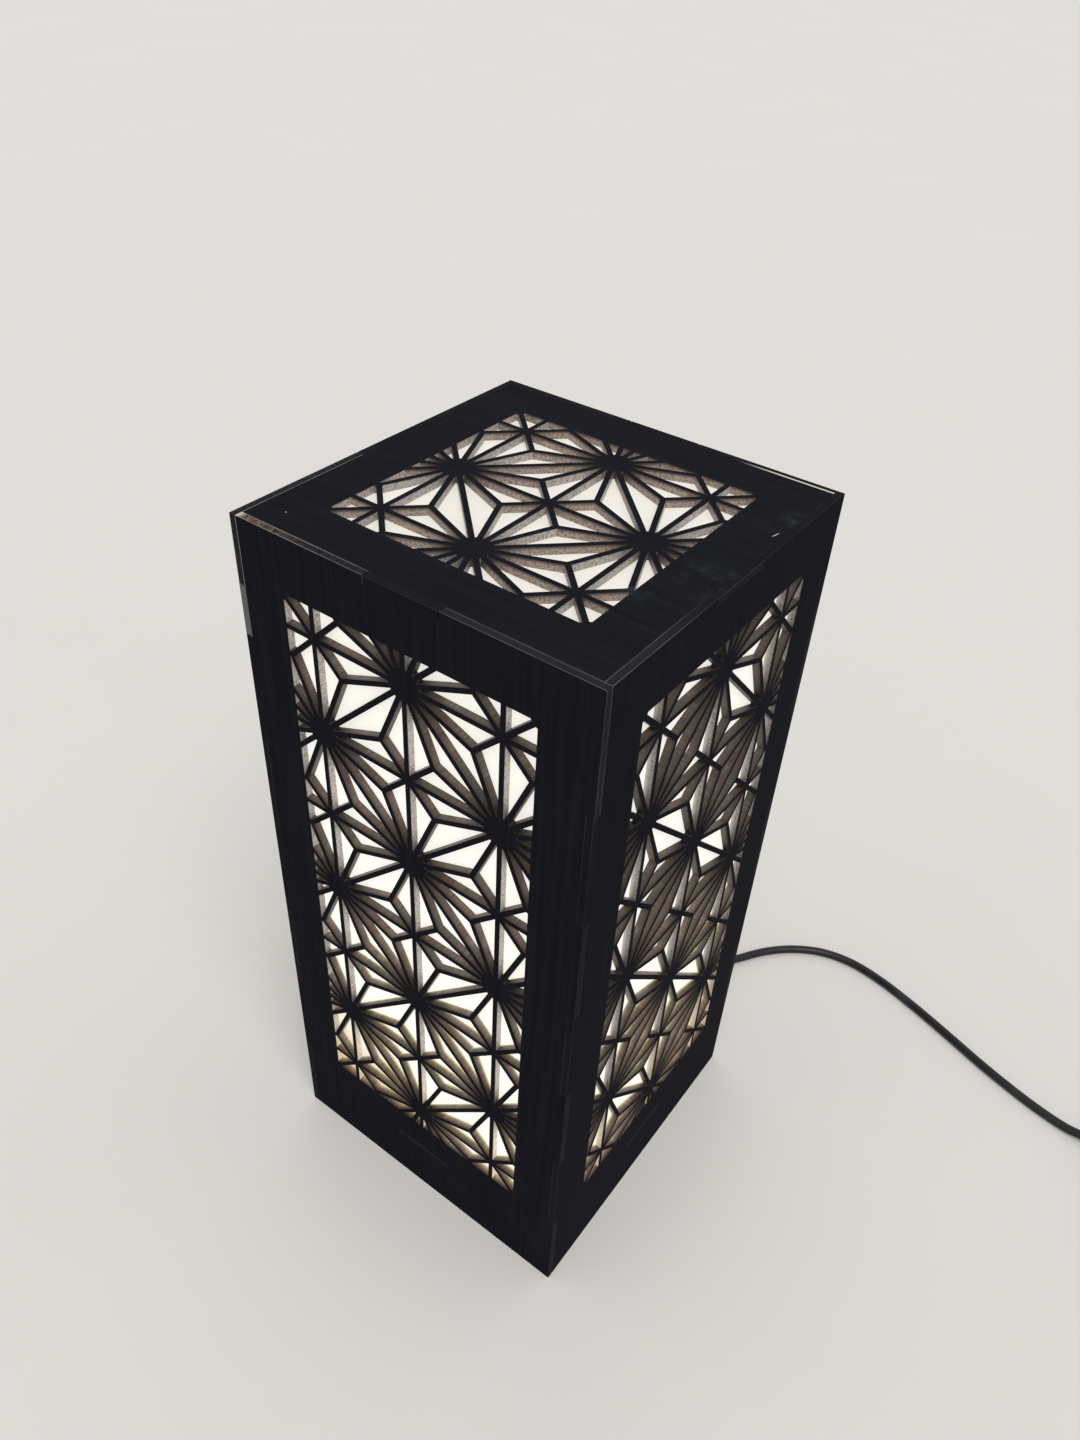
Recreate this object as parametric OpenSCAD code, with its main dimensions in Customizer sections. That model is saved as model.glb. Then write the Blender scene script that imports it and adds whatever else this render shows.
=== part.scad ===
/* [Body] */
// Width and depth of the lamp over the faces of its side panels
body_w = 200; // [190:1:240]
// Height from the floor to the face of the top panel
body_h = 450; // [440:1:520]
// Thickness of the cut boards
board_t = 4; // [3:0.5:6]
// Number of equal lengths that each corner joint is divided into
finger_n = 7; // [5:2:9]
// Width of the tabs that seat the top panel and the base plate
tab_w = 40; // [24:1:60]
// Gap all round the loose top panel
lid_gap = 0.5; // [0.3:0.1:1]
// Height of the base plate's upper face above the floor
base_z = 42; // [36:1:46]

/* [Lattice] */
// Distance between neighbouring stars
star_pitch = 53.5; // [50:0.5:55]
// Lattice beyond the outer stars, up to the window's edge
window_margin = 17; // [10:0.5:20]
// Frame left above the side windows
top_rail = 29.5; // [24:0.5:32]
// Least frame left below the side windows
bottom_rail = 60; // [52:0.5:64]
// Least frame left beside the windows
side_rail = 24; // [20:0.5:28]
// Width of a lattice bar
bar_w = 2.8; // [2:0.1:3.4]
// Diameter of the solid centre of a large star
hub_d = 18; // [16:0.5:22]
// Radius of the windows' corners
window_r = 3; // [1:0.5:6]

/* [Light diffusers] */
// Thickness of the translucent sheets behind the lattice
sheet_t = 0.8; // [0.5:0.1:1.5]

/* [Lampholder] */
// Outer diameter of the lampholder's shell
shell_d = 40; // [38:0.5:46]
// Height of the lampholder's shell
shell_h = 36; // [34:0.5:38]
// Thickness of the lampholder's flange
flange_t = 6; // [5:0.5:8]
// Distance between the two screws of the flange
flange_pitch = 52; // [50:1:60]
// Diameter of the flange screws
flange_screw_d = 3.5; // [3:0.5:4]

/* [Bulb] */
// Diameter of the bulb's globe
globe_d = 60; // [54:1:66]
// Height of the bulb from its contact to its crown
bulb_h = 110; // [104:1:120]
// Height of the bulb's LED board above its contact
light_h = 46; // [42:1:50]
// Diameter over the thread crests of the bulb's cap
cap_d = 26; // [25.8:0.1:26.2]
// Thread pitch of the bulb's cap
cap_pitch = 3.629; // [3.5:0.01:3.8]

/* [Cord] */
// Diameter of the cord
cord_d = 6; // [5:0.5:6.5]
// Distance of the cord's outlet from the middle of the back panel
outlet_x = 50; // [44:1:56]
// Height of the cord's outlet above the floor
outlet_z = 18; // [14:1:22]
// Length of the tapered strain relief
relief_l = 24; // [20:1:30]
// Radius of the coil at the middle of its outer turn
coil_r = 42.5; // [40:0.5:46]
// Turns in the coil, half of them in each layer
coil_turns = 6; // [2:2:8]
// Thickness of the tie round the coil
tie_t = 0.8; // [0.6:0.1:1.2]

/* [Switch and plug] */
// Length of the switch on the cord
switch_l = 62; // [58:1:70]
// Width of the switch
switch_w = 22; // [20:1:28]
// Height of the switch without its rocker
switch_h = 15; // [14:0.5:18]
// Travel of the rocker in degrees
rocker_travel = 16; // [10:1:20]
// Length of the plug's body
plug_l = 36; // [32:1:40]
// Thickness of the plug's body
plug_t = 13.7; // [12:0.1:15]
// Distance between the plug's pins
pin_pitch = 18.6; // [17:0.1:20]
// Diameter of the plug's pins
pin_d = 4; // [3.5:0.1:5]
// Length of the plug's pins
pin_l = 19; // [16:0.5:20]

/* [Hidden] */
$fn = 48;
eps = 0.01;

// Colours
board_colour = "#2b2523";
sheet_colour = "#f4f0e4";
holder_colour = "#e9e6dd";
brass_colour = "#b5924c";
steel_colour = "#a9abae";
bulb_colour = "#f7f6f1";
black_colour = "#1b1b1d";
rocker_colour = "#29292c";
strap_colour = "#2e2e31";
chip_colour = "#f2d24a";
core_colours = ["#6b4a2b", "#3a6ea5"];

// Panels: half widths, finger length, tab notches and slots
half_w = body_w / 2;
inner_half = half_w - board_t;
finger_h = body_h / finger_n;
notch_w = tab_w + 2 * lid_gap;
base_low = base_z - board_t;

// Windows hold as many stars as fit between their rails
function stars_in(room) = 1 + floor((room - 2 * window_margin) / star_pitch);
star_cols = stars_in(body_w - 2 * side_rail);
star_rows = stars_in(body_h - top_rail - bottom_rail);
function window_size(stars) = (stars - 1) * star_pitch + 2 * window_margin;
window_z = body_h - top_rail - window_size(star_rows) / 2;

// Plane geometry
function unit(v) = v / norm(v);
function side(p, line) = (p - line[0]) * line[1];
function meet(a, b, line) = a + (b - a) * side(a, line) / (side(a, line) - side(b, line));
// The part of a convex outline on the inner side of a line
function clipped(shape, line) = [
    for (i = [0:1:len(shape) - 1])
        let (
            a = shape[i],
            b = shape[(i + 1) % len(shape)],
            a_in = side(a, line) >= 0,
            b_in = side(b, line) >= 0
        )
        each concat(a_in == b_in ? [] : [meet(a, b, line)], b_in ? [b] : [])
];
function clipped_by(shape, lines, i = 0) =
    i == len(lines) || len(shape) < 3 ? shape
    : clipped_by(clipped(shape, lines[i]), lines, i + 1);
function area(shape) = len(shape) < 3 ? 0 : 0.5 * abs([
    for (i = [0:len(shape) - 1])
        let (a = shape[i], b = shape[(i + 1) % len(shape)])
        a[0] * b[1] - a[1] * b[0]
] * [for (i = [0:len(shape) - 1]) 1]);

// Lattice: every bar's edge runs half a bar's width beside the line between two centres
function bar_edge(a, b, inside) =
    let (
        n = unit([a[1] - b[1], b[0] - a[0]]),
        inward = (inside - a) * n > 0 ? n : -n
    )
    [a + inward * bar_w / 2, inward];
// The tip of an opening is cut off where it reaches a large star's centre
function hub_edge(hub, p, q) =
    let (way = unit(unit(p - hub) + unit(q - hub)))
    [hub + way * hub_d / 2, way];
function window_edges(w, h) = concat(
    [
        [[w / 2, 0], [-1, 0]],
        [[-w / 2, 0], [1, 0]],
        [[0, h / 2], [0, -1]],
        [[0, -h / 2], [0, 1]]
    ],
    [
        for (sx = [-1, 1], sy = [-1, 1], turn = [22.5, 45, 67.5])
            let (out = [sx * cos(turn), sy * sin(turn)])
            [[sx * (w / 2 - window_r), sy * (h / 2 - window_r)] + out * window_r, -out]
    ]
);
// The three openings of one corner of a square: its small star s and two large stars
in_share = 1 - sqrt(0.5);
function corner_openings(s, b1, b2, edges) =
    let (mid = s + (b1 - s + b2 - s) * in_share)
    [
        opening(s, b1, mid, concat([hub_edge(b1, s, mid)], edges)),
        opening(s, b2, mid, concat([hub_edge(b2, s, mid)], edges)),
        opening(b1, b2, mid, concat([hub_edge(b1, b2, mid), hub_edge(b2, b1, mid)], edges))
    ];
function opening(a, b, c, edges) =
    clipped_by([a, b, c], concat([bar_edge(a, b, c), bar_edge(b, c, a), bar_edge(c, a, b)], edges));
function star(c, j, cols, rows) = [(c - (cols - 1) / 2), (j - (rows - 1) / 2)] * star_pitch;
least_opening = 5;
function lattice(cols, rows) =
    let (edges = window_edges(window_size(cols), window_size(rows)))
    [
        for (c = [-1:cols - 1], j = [-1:rows - 1])
            let (
                even = (c + j + 2) % 2 == 0,
                s1 = star(even ? c : c + 1, j, cols, rows),
                s2 = star(even ? c + 1 : c, j + 1, cols, rows),
                b1 = star(even ? c + 1 : c, j, cols, rows),
                b2 = star(even ? c : c + 1, j + 1, cols, rows)
            )
            for (shape = concat(corner_openings(s1, b1, b2, edges), corner_openings(s2, b1, b2, edges)))
                if (area(shape) > least_opening) shape
    ];
function moved(shapes, by) = [for (shape = shapes) [for (p = shape) p + by]];
function starts(shapes, i = 0, sum = 0) =
    i == len(shapes) ? [] : concat([sum], starts(shapes, i + 1, sum + len(shapes[i])));
// A board is an outline with openings, as one polygon
module board(outline, openings) {
    shapes = concat([outline], openings);
    first = starts(shapes);
    linear_extrude(board_t)
        polygon(
            [for (shape = shapes) each shape],
            [for (i = [0:len(shapes) - 1]) [for (k = [0:len(shapes[i]) - 1]) first[i] + k]]
        );
}
function box_shape(w, h, at) = [
    at + [-w / 2, -h / 2],
    at + [w / 2, -h / 2],
    at + [w / 2, h / 2],
    at + [-w / 2, h / 2]
];

// Side panels: each has fingers at the odd lengths of its right edge, counted from the top,
// and at the even lengths of its left edge, so that four alike lock round the corners
function right_edge(k) = k % 2 == 0 ? half_w : inner_half;
function left_edge(k) = k % 2 == 0 ? -inner_half : -half_w;
side_outline = concat(
    [
        for (k = [finger_n - 1:-1:0]) each [
            [right_edge(k), body_h - (k + 1) * finger_h],
            [right_edge(k), body_h - k * finger_h]
        ]
    ],
    [
        [notch_w / 2, body_h],
        [notch_w / 2, body_h - board_t],
        [-notch_w / 2, body_h - board_t],
        [-notch_w / 2, body_h]
    ],
    [
        for (k = [0:finger_n - 1]) each [
            [left_edge(k), body_h - k * finger_h],
            [left_edge(k), body_h - (k + 1) * finger_h]
        ]
    ]
);
module side_panel() {
    openings = concat(
        [box_shape(tab_w, board_t, [0, base_z - board_t / 2])],
        moved(lattice(star_cols, star_rows), [0, window_z])
    );
    color(board_colour)
        translate([0, -inner_half, 0])
            rotate([90, 0, 0])
                board(side_outline, openings);
}
module side_panel_front() { side_panel(); }
module side_panel_right() { rotate([0, 0, 90]) side_panel(); }
module side_panel_left() { rotate([0, 0, -90]) side_panel(); }
module side_panel_back() {
    difference() {
        rotate([0, 0, 180]) side_panel();
        color(board_colour)
            translate([outlet_x, half_w + 1, outlet_z])
                rotate([90, 0, 0])
                    cylinder(d = gland_bore, h = board_t + 2);
    }
}

// A square plate with a tab in the middle of each side
function tabbed_square(half) = [
    for (turn = [0:90:270], p = [
        [-half, -half],
        [-tab_w / 2, -half],
        [-tab_w / 2, -half_w],
        [tab_w / 2, -half_w],
        [tab_w / 2, -half]
    ])
        [p[0] * cos(turn) - p[1] * sin(turn), p[0] * sin(turn) + p[1] * cos(turn)]
];
module top_panel() {
    color(board_colour)
        translate([0, 0, body_h - board_t])
            board(tabbed_square(inner_half - lid_gap), lattice(star_cols, star_cols));
}

// Base plate: the lampholder is screwed to it, and its vents let cool air in
vent_d = 12;
vent_at = 62;
flex_hole_d = 10;
module base_plate() {
    color(board_colour)
        difference() {
            translate([0, 0, base_low])
                board(tabbed_square(inner_half), []);
            for (x = [-vent_at, vent_at], y = [-vent_at, vent_at])
                translate([x, y, base_low - 1])
                    cylinder(d = vent_d, h = board_t + 2);
            translate([0, 0, base_low - 1])
                cylinder(d = flex_hole_d, h = board_t + 2);
            for (x = [-1, 1])
                translate([x * flange_pitch / 2, 0, base_low - 1])
                    cylinder(d = flange_screw_d + 0.5, h = board_t + 2);
        }
}

// Diffusers: sheets that stand on the base plate against the inner faces of the panels
sheet_gap = 0.5;
sheet_h = body_h - board_t - base_z - sheet_gap;
module side_sheet(w) {
    color(sheet_colour)
        translate([-w / 2, -inner_half, base_z])
            cube([w, sheet_t, sheet_h]);
}
wide_sheet = 2 * (inner_half - 0.3);
narrow_sheet = 2 * (inner_half - sheet_t - 0.3);
module diffuser_front() { side_sheet(wide_sheet); }
module diffuser_back() { rotate([0, 0, 180]) side_sheet(wide_sheet); }
module diffuser_right() { rotate([0, 0, 90]) side_sheet(narrow_sheet); }
module diffuser_left() { rotate([0, 0, -90]) side_sheet(narrow_sheet); }
top_sheet = 2 * (inner_half - sheet_t - 1.2);
module diffuser_top() {
    color(sheet_colour)
        translate([-top_sheet / 2, -top_sheet / 2, body_h - board_t - sheet_t])
            cube([top_sheet, top_sheet, sheet_t]);
}

// Lampholder: heights are counted up from the base plate
block_d = shell_d - 5;
block_h = 8;
flange_z = base_z + flange_t;
seat_z = flange_z + block_h;
shell_wall = 2;
shell_rim_h = 6;
thread_gap = 0.4;
thread_depth = 0.9;
brass_t = 0.5;
thread_d = cap_d + 2 * thread_gap;
thread_len = 20;
rim_d = cap_d + 4;
wire_at = 9;
wire_hole_d = 3.4;
ear_d = 14;
pocket_h = 1.5;
module holder_base() {
    color(holder_colour)
        difference() {
            union() {
                translate([0, 0, base_z])
                    cylinder(d = shell_d + 6, h = flange_t);
                for (x = [-1, 1])
                    translate([x * flange_pitch / 2, 0, base_z])
                        cylinder(d = ear_d, h = flange_t);
                translate([-flange_pitch / 2, -ear_d / 2, base_z])
                    cube([flange_pitch, ear_d, flange_t]);
                translate([0, 0, base_z])
                    cylinder(d = block_d, h = flange_t + block_h);
            }
            translate([0, 0, base_z - 1])
                cylinder(d = flex_hole_d, h = flange_t + pocket_h + 1);
            for (y = [-1, 1])
                translate([0, y * wire_at / 2, base_z + 1])
                    cylinder(d = wire_hole_d, h = flange_t + block_h);
            for (x = [-1, 1])
                translate([x * flange_pitch / 2, 0, base_z - 1])
                    cylinder(d = flange_screw_d + 0.5, h = flange_t + 2);
        }
}
module holder_shell() {
    color(holder_colour)
        translate([0, 0, flange_z])
            difference() {
                union() {
                    cylinder(d = shell_d, h = shell_h);
                    translate([0, 0, shell_h - shell_rim_h])
                        cylinder(d = shell_d + 2, h = shell_rim_h);
                }
                translate([0, 0, -1])
                    cylinder(d = shell_d - 2 * shell_wall, h = shell_h - shell_rim_h + 1);
                translate([0, 0, -1])
                    cylinder(d = rim_d, h = shell_h + 2);
            }
}
// A thread's rounded crests, as rings in a turned profile
function wave(z, d, depth) = d / 2 - depth / 2 * (1 - cos(360 * z / cap_pitch));
wave_steps = 6;
function wavy_side(z0, length, d, depth) = [
    for (k = [0:floor(length / cap_pitch * wave_steps)])
        let (z = k * cap_pitch / wave_steps)
        [wave(z, d, depth), z0 + z]
];
// The screwed sleeve of the holder has a foot that runs inward to its terminal screw
contact_w = 6;
contact_t = 0.8;
contact_rise = 2;
foot_at = contact_w / 2 + 0.6;
module holder_thread() {
    inner = wavy_side(seat_z, thread_len, thread_d + 2 * thread_depth, thread_depth);
    outer = [for (k = [len(inner) - 1:-1:0]) inner[k] + [brass_t, 0]];
    color(brass_colour)
        union() {
            rotate_extrude()
                polygon(concat(inner, outer));
            translate([-contact_w / 2, foot_at, seat_z])
                cube([contact_w, thread_d / 2 + thread_depth - foot_at, contact_t]);
        }
}
// The centre contact is a folded strip that the bulb presses down
strip_end = wire_at / 2 + 3;
module holder_contact() {
    color(brass_colour)
        union() {
            translate([-contact_w / 2, -strip_end, seat_z])
                cube([contact_w, strip_end + contact_w / 2, contact_t]);
            translate([-contact_w / 2, -contact_w / 2, seat_z])
                cube([contact_w, contact_t, contact_rise]);
            translate([-contact_w / 2, -contact_w / 2, seat_z + contact_rise - contact_t])
                cube([contact_w, contact_w, contact_t]);
        }
}
terminal_d = 3.6;
terminal_h = 1.1;
module terminal_screws() {
    color(steel_colour)
        for (y = [0.2 + terminal_d / 2 - strip_end, strip_end - terminal_d / 2])
            translate([0, y, seat_z + contact_t])
                cylinder(d = terminal_d, h = terminal_h);
}
screw_head_d = 7;
screw_head_h = 2.4;
nut_t = 3;
screw_reach = flange_t + board_t + nut_t + 1;
module holder_screws() {
    color(steel_colour)
        for (x = [-1, 1])
            translate([x * flange_pitch / 2, 0, flange_z]) {
                translate([0, 0, -screw_reach])
                    cylinder(d = flange_screw_d, h = screw_reach + 0.5);
                difference() {
                    cylinder(d = screw_head_d, h = screw_head_h);
                    translate([-screw_head_d / 2, -0.5, screw_head_h - 1])
                        cube([screw_head_d, 1, 2]);
                }
            }
}
nut_across = 6.2;
module holder_nuts() {
    color(steel_colour)
        for (x = [-1, 1])
            translate([x * flange_pitch / 2, 0, base_low - nut_t])
                difference() {
                    cylinder(d = nut_across / cos(30), h = nut_t, $fn = 6);
                    translate([0, 0, -1])
                        cylinder(d = flange_screw_d, h = nut_t + 2);
                }
}

// Bulb: heights are counted up from the underside of its contact
bulb_gap = 0.3;
bulb_z = seat_z + contact_rise + bulb_gap;
pip_d = 9;
pip_h = 2.4;
insulator_h = 4;
cap_low = bulb_z + pip_h + insulator_h;
cap_len = 4.5 * cap_pitch;
cap_wall = 0.4;
neck_d = cap_d + 1.6;
neck_z = cap_low + cap_len;
board_z = bulb_z + light_h;
globe_z = bulb_z + bulb_h - globe_d / 2;
globe_wall = 1.2;
dome_steps = 12;
module bulb_contact() {
    color(steel_colour)
        translate([0, 0, bulb_z])
            rotate_extrude()
                polygon([
                    [0, 0],
                    [pip_d / 2 - 1.6, 0],
                    [pip_d / 2 - 0.6, 0.6],
                    [pip_d / 2, 1.6],
                    [pip_d / 2, pip_h],
                    [0, pip_h]
                ]);
}
module bulb_insulator() {
    color(black_colour)
        translate([0, 0, bulb_z + pip_h])
            cylinder(d1 = pip_d + 2, d2 = cap_d - 4, h = insulator_h);
}
module bulb_cap() {
    crest = wavy_side(0, cap_len, cap_d, thread_depth);
    color(steel_colour)
        translate([0, 0, cap_low])
            rotate_extrude()
                polygon(concat(
                    crest,
                    [for (k = [len(crest) - 1:-1:1]) crest[k] - [cap_wall, 0]],
                    [[crest[1][0] - cap_wall, cap_wall], [pip_d / 2, cap_wall], [pip_d / 2, 0]]
                ));
}
housing_top_d = globe_d - 4;
flare_steps = 8;
module bulb_housing() {
    wall = 1.4;
    flare = [
        for (k = [0:flare_steps])
            let (turn = 90 * k / flare_steps)
            [
                neck_d / 2 + (housing_top_d - neck_d) / 2 * (1 - cos(turn)),
                neck_z + (board_z - neck_z) * sin(turn)
            ]
    ];
    color(bulb_colour)
        rotate_extrude()
            polygon(concat(
                flare,
                [for (k = [flare_steps:-1:1]) flare[k] - [wall, 0]],
                [[neck_d / 2 - wall, neck_z + wall], [2, neck_z + wall], [2, neck_z]]
            ));
}
led_board_t = 1.2;
board_gap = 0.4;
module led_board() {
    color(steel_colour)
        translate([0, 0, board_z])
            cylinder(d = housing_top_d - 2 * board_gap - 0.2, h = led_board_t);
}
led_count = 9;
led_ring_r = 17;
module led_chips() {
    color(chip_colour)
        for (k = [0:led_count - 1])
            rotate([0, 0, k * 360 / led_count])
                translate([led_ring_r - 1.4, -1.75, board_z + led_board_t])
                    cube([2.8, 3.5, 0.7]);
}
module bulb_globe() {
    r = globe_d / 2;
    foot_r = housing_top_d / 2;
    foot = [foot_r, board_z];
    waist = [foot_r + 0.6, board_z + (globe_z - board_z) * 0.4];
    arc = [for (k = [0:dome_steps]) [cos(90 * k / dome_steps), sin(90 * k / dome_steps)]];
    dome = [for (way = arc) [0, globe_z] + r * way];
    inner = [for (k = [dome_steps:-1:0]) [0, globe_z] + (r - globe_wall) * arc[k]];
    color(bulb_colour)
        rotate_extrude()
            polygon(concat(
                [foot, waist],
                dome,
                inner,
                [waist - [globe_wall, 0]],
                [[foot_r - board_gap, board_z + led_board_t + 0.2], [foot_r - board_gap, board_z]]
            ));
}

// Cord outlet: a gland through the back panel with its nut inside and a soft sleeve outside
gland_d = 11.6;
gland_bore = gland_d + 0.4;
gland_flange_d = 18;
gland_flange_t = 2.5;
gland_reach = 9;
gland_nut_t = 4;
gland_nut_across = 16;
flex_clear = 0.3;
outlet_y = half_w + gland_flange_t + relief_l;
module along_y(y) {
    translate([outlet_x, y, outlet_z])
        rotate([-90, 0, 0])
            children();
}
module cord_gland() {
    color(black_colour)
        difference() {
            union() {
                along_y(inner_half - gland_reach)
                    cylinder(d = gland_d, h = gland_reach + board_t + eps);
                along_y(half_w)
                    cylinder(d = gland_flange_d, h = gland_flange_t);
            }
            along_y(inner_half - gland_reach - 1)
                cylinder(d = cord_d + 2 * flex_clear, h = gland_reach + board_t + gland_flange_t + 2);
        }
}
module gland_nut() {
    color(black_colour)
        difference() {
            along_y(inner_half - gland_nut_t)
                cylinder(d = gland_nut_across / cos(30), h = gland_nut_t, $fn = 6);
            along_y(inner_half - gland_nut_t - 1)
                cylinder(d = gland_d, h = gland_nut_t + 2);
        }
}
module strain_relief() {
    color(black_colour)
        along_y(half_w + gland_flange_t)
            rotate_extrude()
                polygon([
                    [0, 0],
                    [cord_d / 2 + 3, 0],
                    [cord_d / 2 + 3, 3],
                    [cord_d / 2 + 0.8, relief_l - 1],
                    [cord_d / 2 + 0.3, relief_l],
                    [0, relief_l]
                ]);
}

// Tubes swept along smooth routes
function blend(a, b, c, d, t) =
    b + 0.5 * t * (c - a + t * (2 * a - 5 * b + 4 * c - d + t * (3 * (b - c) + d - a)));
// A route is straight up to its second point and from its last but one, and curves between
function route(points, steps) =
    let (n = len(points))
    concat(
        [points[0]],
        [
            for (i = [1:n - 3], k = [0:steps - 1])
                blend(points[i - 1], points[i], points[i + 1], points[i + 2], k / steps)
        ],
        [points[n - 2], points[n - 1]]
    );
function heading(path, i) =
    unit(path[min(i + 1, len(path) - 1)] - path[max(i - 1, 0)]);
function ring(at, way, r, n, upright) =
    let (across = unit(cross(way, upright)), up = cross(across, way))
    [for (k = [0:n - 1]) at + r * (cos(360 * k / n) * across + sin(360 * k / n) * up)];
module tube(path, d, n, upright = [0, 0, 1]) {
    m = len(path);
    points = [for (i = [0:m - 1]) each ring(path[i], heading(path, i), d / 2, n, upright)];
    walls = [
        for (i = [0:m - 2], k = [0:n - 1])
            let (a = i * n + k, b = i * n + (k + 1) % n)
            each [[a, b, b + n], [a, b + n, a + n]]
    ];
    ends = [[for (k = [n - 1:-1:0]) k], [for (k = [0:n - 1]) (m - 1) * n + k]];
    polyhedron(points, concat(walls, ends), convexity = 10);
}
function length_of(path) =
    len(path) < 2 ? 0 : [for (i = [1:len(path) - 1]) norm(path[i] - path[i - 1])]
        * [for (i = [1:len(path) - 1]) 1];

// Inside the foot the flex rises from the gland to the lampholder
flex_top = base_z + 1;
inner_route = [
    [outlet_x, half_w - 1, outlet_z],
    [outlet_x, inner_half - gland_reach - 2, outlet_z],
    [48, 68, 15],
    [41, 48, 12],
    [29, 28, 10],
    [15, 12, 12],
    [4, 3, 20],
    [0, 0, base_low - 6],
    [0, 0, flex_top]
];
module inner_flex() {
    color(black_colour)
        tube(route(inner_route, 2), cord_d, 8, [1, 0, 0]);
}
core_d = 2.2;
function core_route(y) = [
    [0, y * core_d * 0.6, flex_top],
    [0, y * core_d * 0.6, flex_top + 1],
    [0, y * wire_at / 2, flex_top + 5],
    [0, y * wire_at / 2, flex_top + 8],
    [0, y * wire_at / 2, seat_z]
];
module core_wires() {
    for (k = [0, 1])
        color(core_colours[k])
            tube(route(core_route(2 * k - 1), 3), core_d, 8, [1, 0, 0]);
}

// The cord outside: its route is in millimetres on the floor behind and beside the lamp
switch_at = [383, 200];
switch_mid = switch_h * 0.46;
lead_route = [
    [outlet_x, outlet_y, outlet_z],
    [outlet_x, outlet_y + cord_d, outlet_z],
    [51, 144, 15],
    [54, 157, 8],
    [61, 172, 4],
    [72, 189, 3],
    [85, 208, 3],
    [101, 224, 3],
    [121, 236, 3],
    [144, 241, 3],
    [170, 239, 3],
    [200, 232, 3],
    [230, 223, 3],
    [262, 213, 3],
    [294, 205, 3],
    [319, 201, 3.4],
    [334, 200, 5.6],
    [switch_at[0] - switch_l / 2 - cord_d, switch_at[1], switch_mid],
    [switch_at[0] - switch_l / 2, switch_at[1], switch_mid]
];
coil_at = [420, 130];
coil_pitch = cord_d + 0.6;
coil_low = tie_t + 0.2 + cord_d / 2;
coil_high = coil_low + coil_pitch;
link_route = [
    [switch_at[0] + switch_l / 2, switch_at[1], switch_mid],
    [switch_at[0] + switch_l / 2 + cord_d, switch_at[1], switch_mid],
    [432, 198, 5.6],
    [446, 190, 4.2],
    [456, 176, 4],
    [461, 160, 4],
    [coil_at[0] + coil_r, coil_at[1] + 2 * cord_d, coil_low],
    [coil_at[0] + coil_r, coil_at[1] + cord_d, coil_low]
];
plug_at = [455, 36];
plug_mid = plug_t / 2;
tail_route = [
    [coil_at[0] + coil_r, coil_at[1] - cord_d, coil_high],
    [coil_at[0] + coil_r, coil_at[1] - 2 * cord_d, coil_high],
    [462, 106, 8.6],
    [461, 92, 5.2],
    [459, 77, 3.6],
    [457, 63, 4],
    [456, 52, 6],
    [plug_at[0], plug_at[1] + cord_d, plug_mid],
    [plug_at[0], plug_at[1], plug_mid]
];
module cord_lead() {
    color(black_colour) tube(route(lead_route, 2), cord_d, 10);
}
module cord_link() {
    color(black_colour) tube(route(link_route, 2), cord_d, 10);
}
module cord_tail() {
    color(black_colour) tube(route(tail_route, 2), cord_d, 10);
}

// Coil: it winds inward on the floor, climbs, and winds outward on top
loop_rings = 24;
function eased(t) = let (x = max(0, min(1, t))) x * x * (3 - 2 * x);
function coil_point(s) =
    let (
        r = coil_r - coil_pitch * min(s, coil_turns - s),
        climb = eased((s - coil_turns / 2 + 0.25) / 0.5)
    )
    [
        coil_at[0] + r * cos(360 * s),
        coil_at[1] - r * sin(360 * s),
        coil_low + (coil_high - coil_low) * climb
    ];
coil_path = concat(
    [[coil_at[0] + coil_r, coil_at[1] + cord_d, coil_low]],
    [for (k = [0:coil_turns * loop_rings]) coil_point(k / loop_rings)],
    [[coil_at[0] + coil_r, coil_at[1] - cord_d, coil_high]]
);
module cord_coil() {
    color(black_colour) tube(coil_path, cord_d, 6);
}
// Least gap between turns, taken between points at least half a turn apart
coil_gap = min([
    for (i = [0:len(coil_path) - 1], k = [i + loop_rings / 2:1:len(coil_path) - 1])
        norm(coil_path[i] - coil_path[k])
]) - cord_d;
cord_length = length_of(route(lead_route, 2)) + length_of(route(link_route, 2))
    + length_of(coil_path) + length_of(route(tail_route, 2));
echo(coil_gap = coil_gap, cord_length = cord_length);

// Tie: a strap round all the turns on the side away from the ends
tie_w = 6;
tie_gap = 0.4;
tie_in = coil_r - coil_pitch * (coil_turns / 2 - 0.5) - cord_d / 2 - 2 * tie_gap;
tie_out = coil_r - coil_pitch * 0.5 + cord_d / 2 + tie_gap;
tie_h = coil_high + cord_d / 2 + 0.2;
module cord_tie() {
    color(strap_colour)
        translate([coil_at[0], coil_at[1] - tie_w / 2, 0])
            difference() {
                translate([-tie_out - tie_t, 0, 0])
                    cube([tie_out - tie_in + 2 * tie_t, tie_w, tie_h + tie_t]);
                translate([-tie_out, -1, tie_t])
                    cube([tie_out - tie_in, tie_w + 2, tie_h - tie_t]);
            }
}

// Switch on the cord: two half shells, a rocker on a pin, and contacts inside
switch_wall = 1.8;
switch_r = 5;
function rounded(l, w, r) = [
    for (turn = [0:90:270], a = [0:15:90])
        let (
            sx = turn == 0 || turn == 270 ? 1 : -1,
            sy = turn < 180 ? 1 : -1
        )
        [sx * (l / 2 - r) + r * cos(turn + a), sy * (w / 2 - r) + r * sin(turn + a)]
];
module switch_hull(inset, low, high) {
    translate([switch_at[0], switch_at[1], low])
        linear_extrude(high - low)
            polygon(rounded(switch_l - 2 * inset, switch_w - 2 * inset, switch_r - inset));
}
switch_screw_at = 21;
switch_screw_d = 2.6;
post_d = 6;
rocker_r = 9.3;
rocker_w = 9;
pivot_z = switch_h - 3.4;
pin_r = 1.2;
pin_reach = 2.2;
pin_gap = 0.3;
rocker_gap = 0.4;
lug_w = 6;
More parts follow.
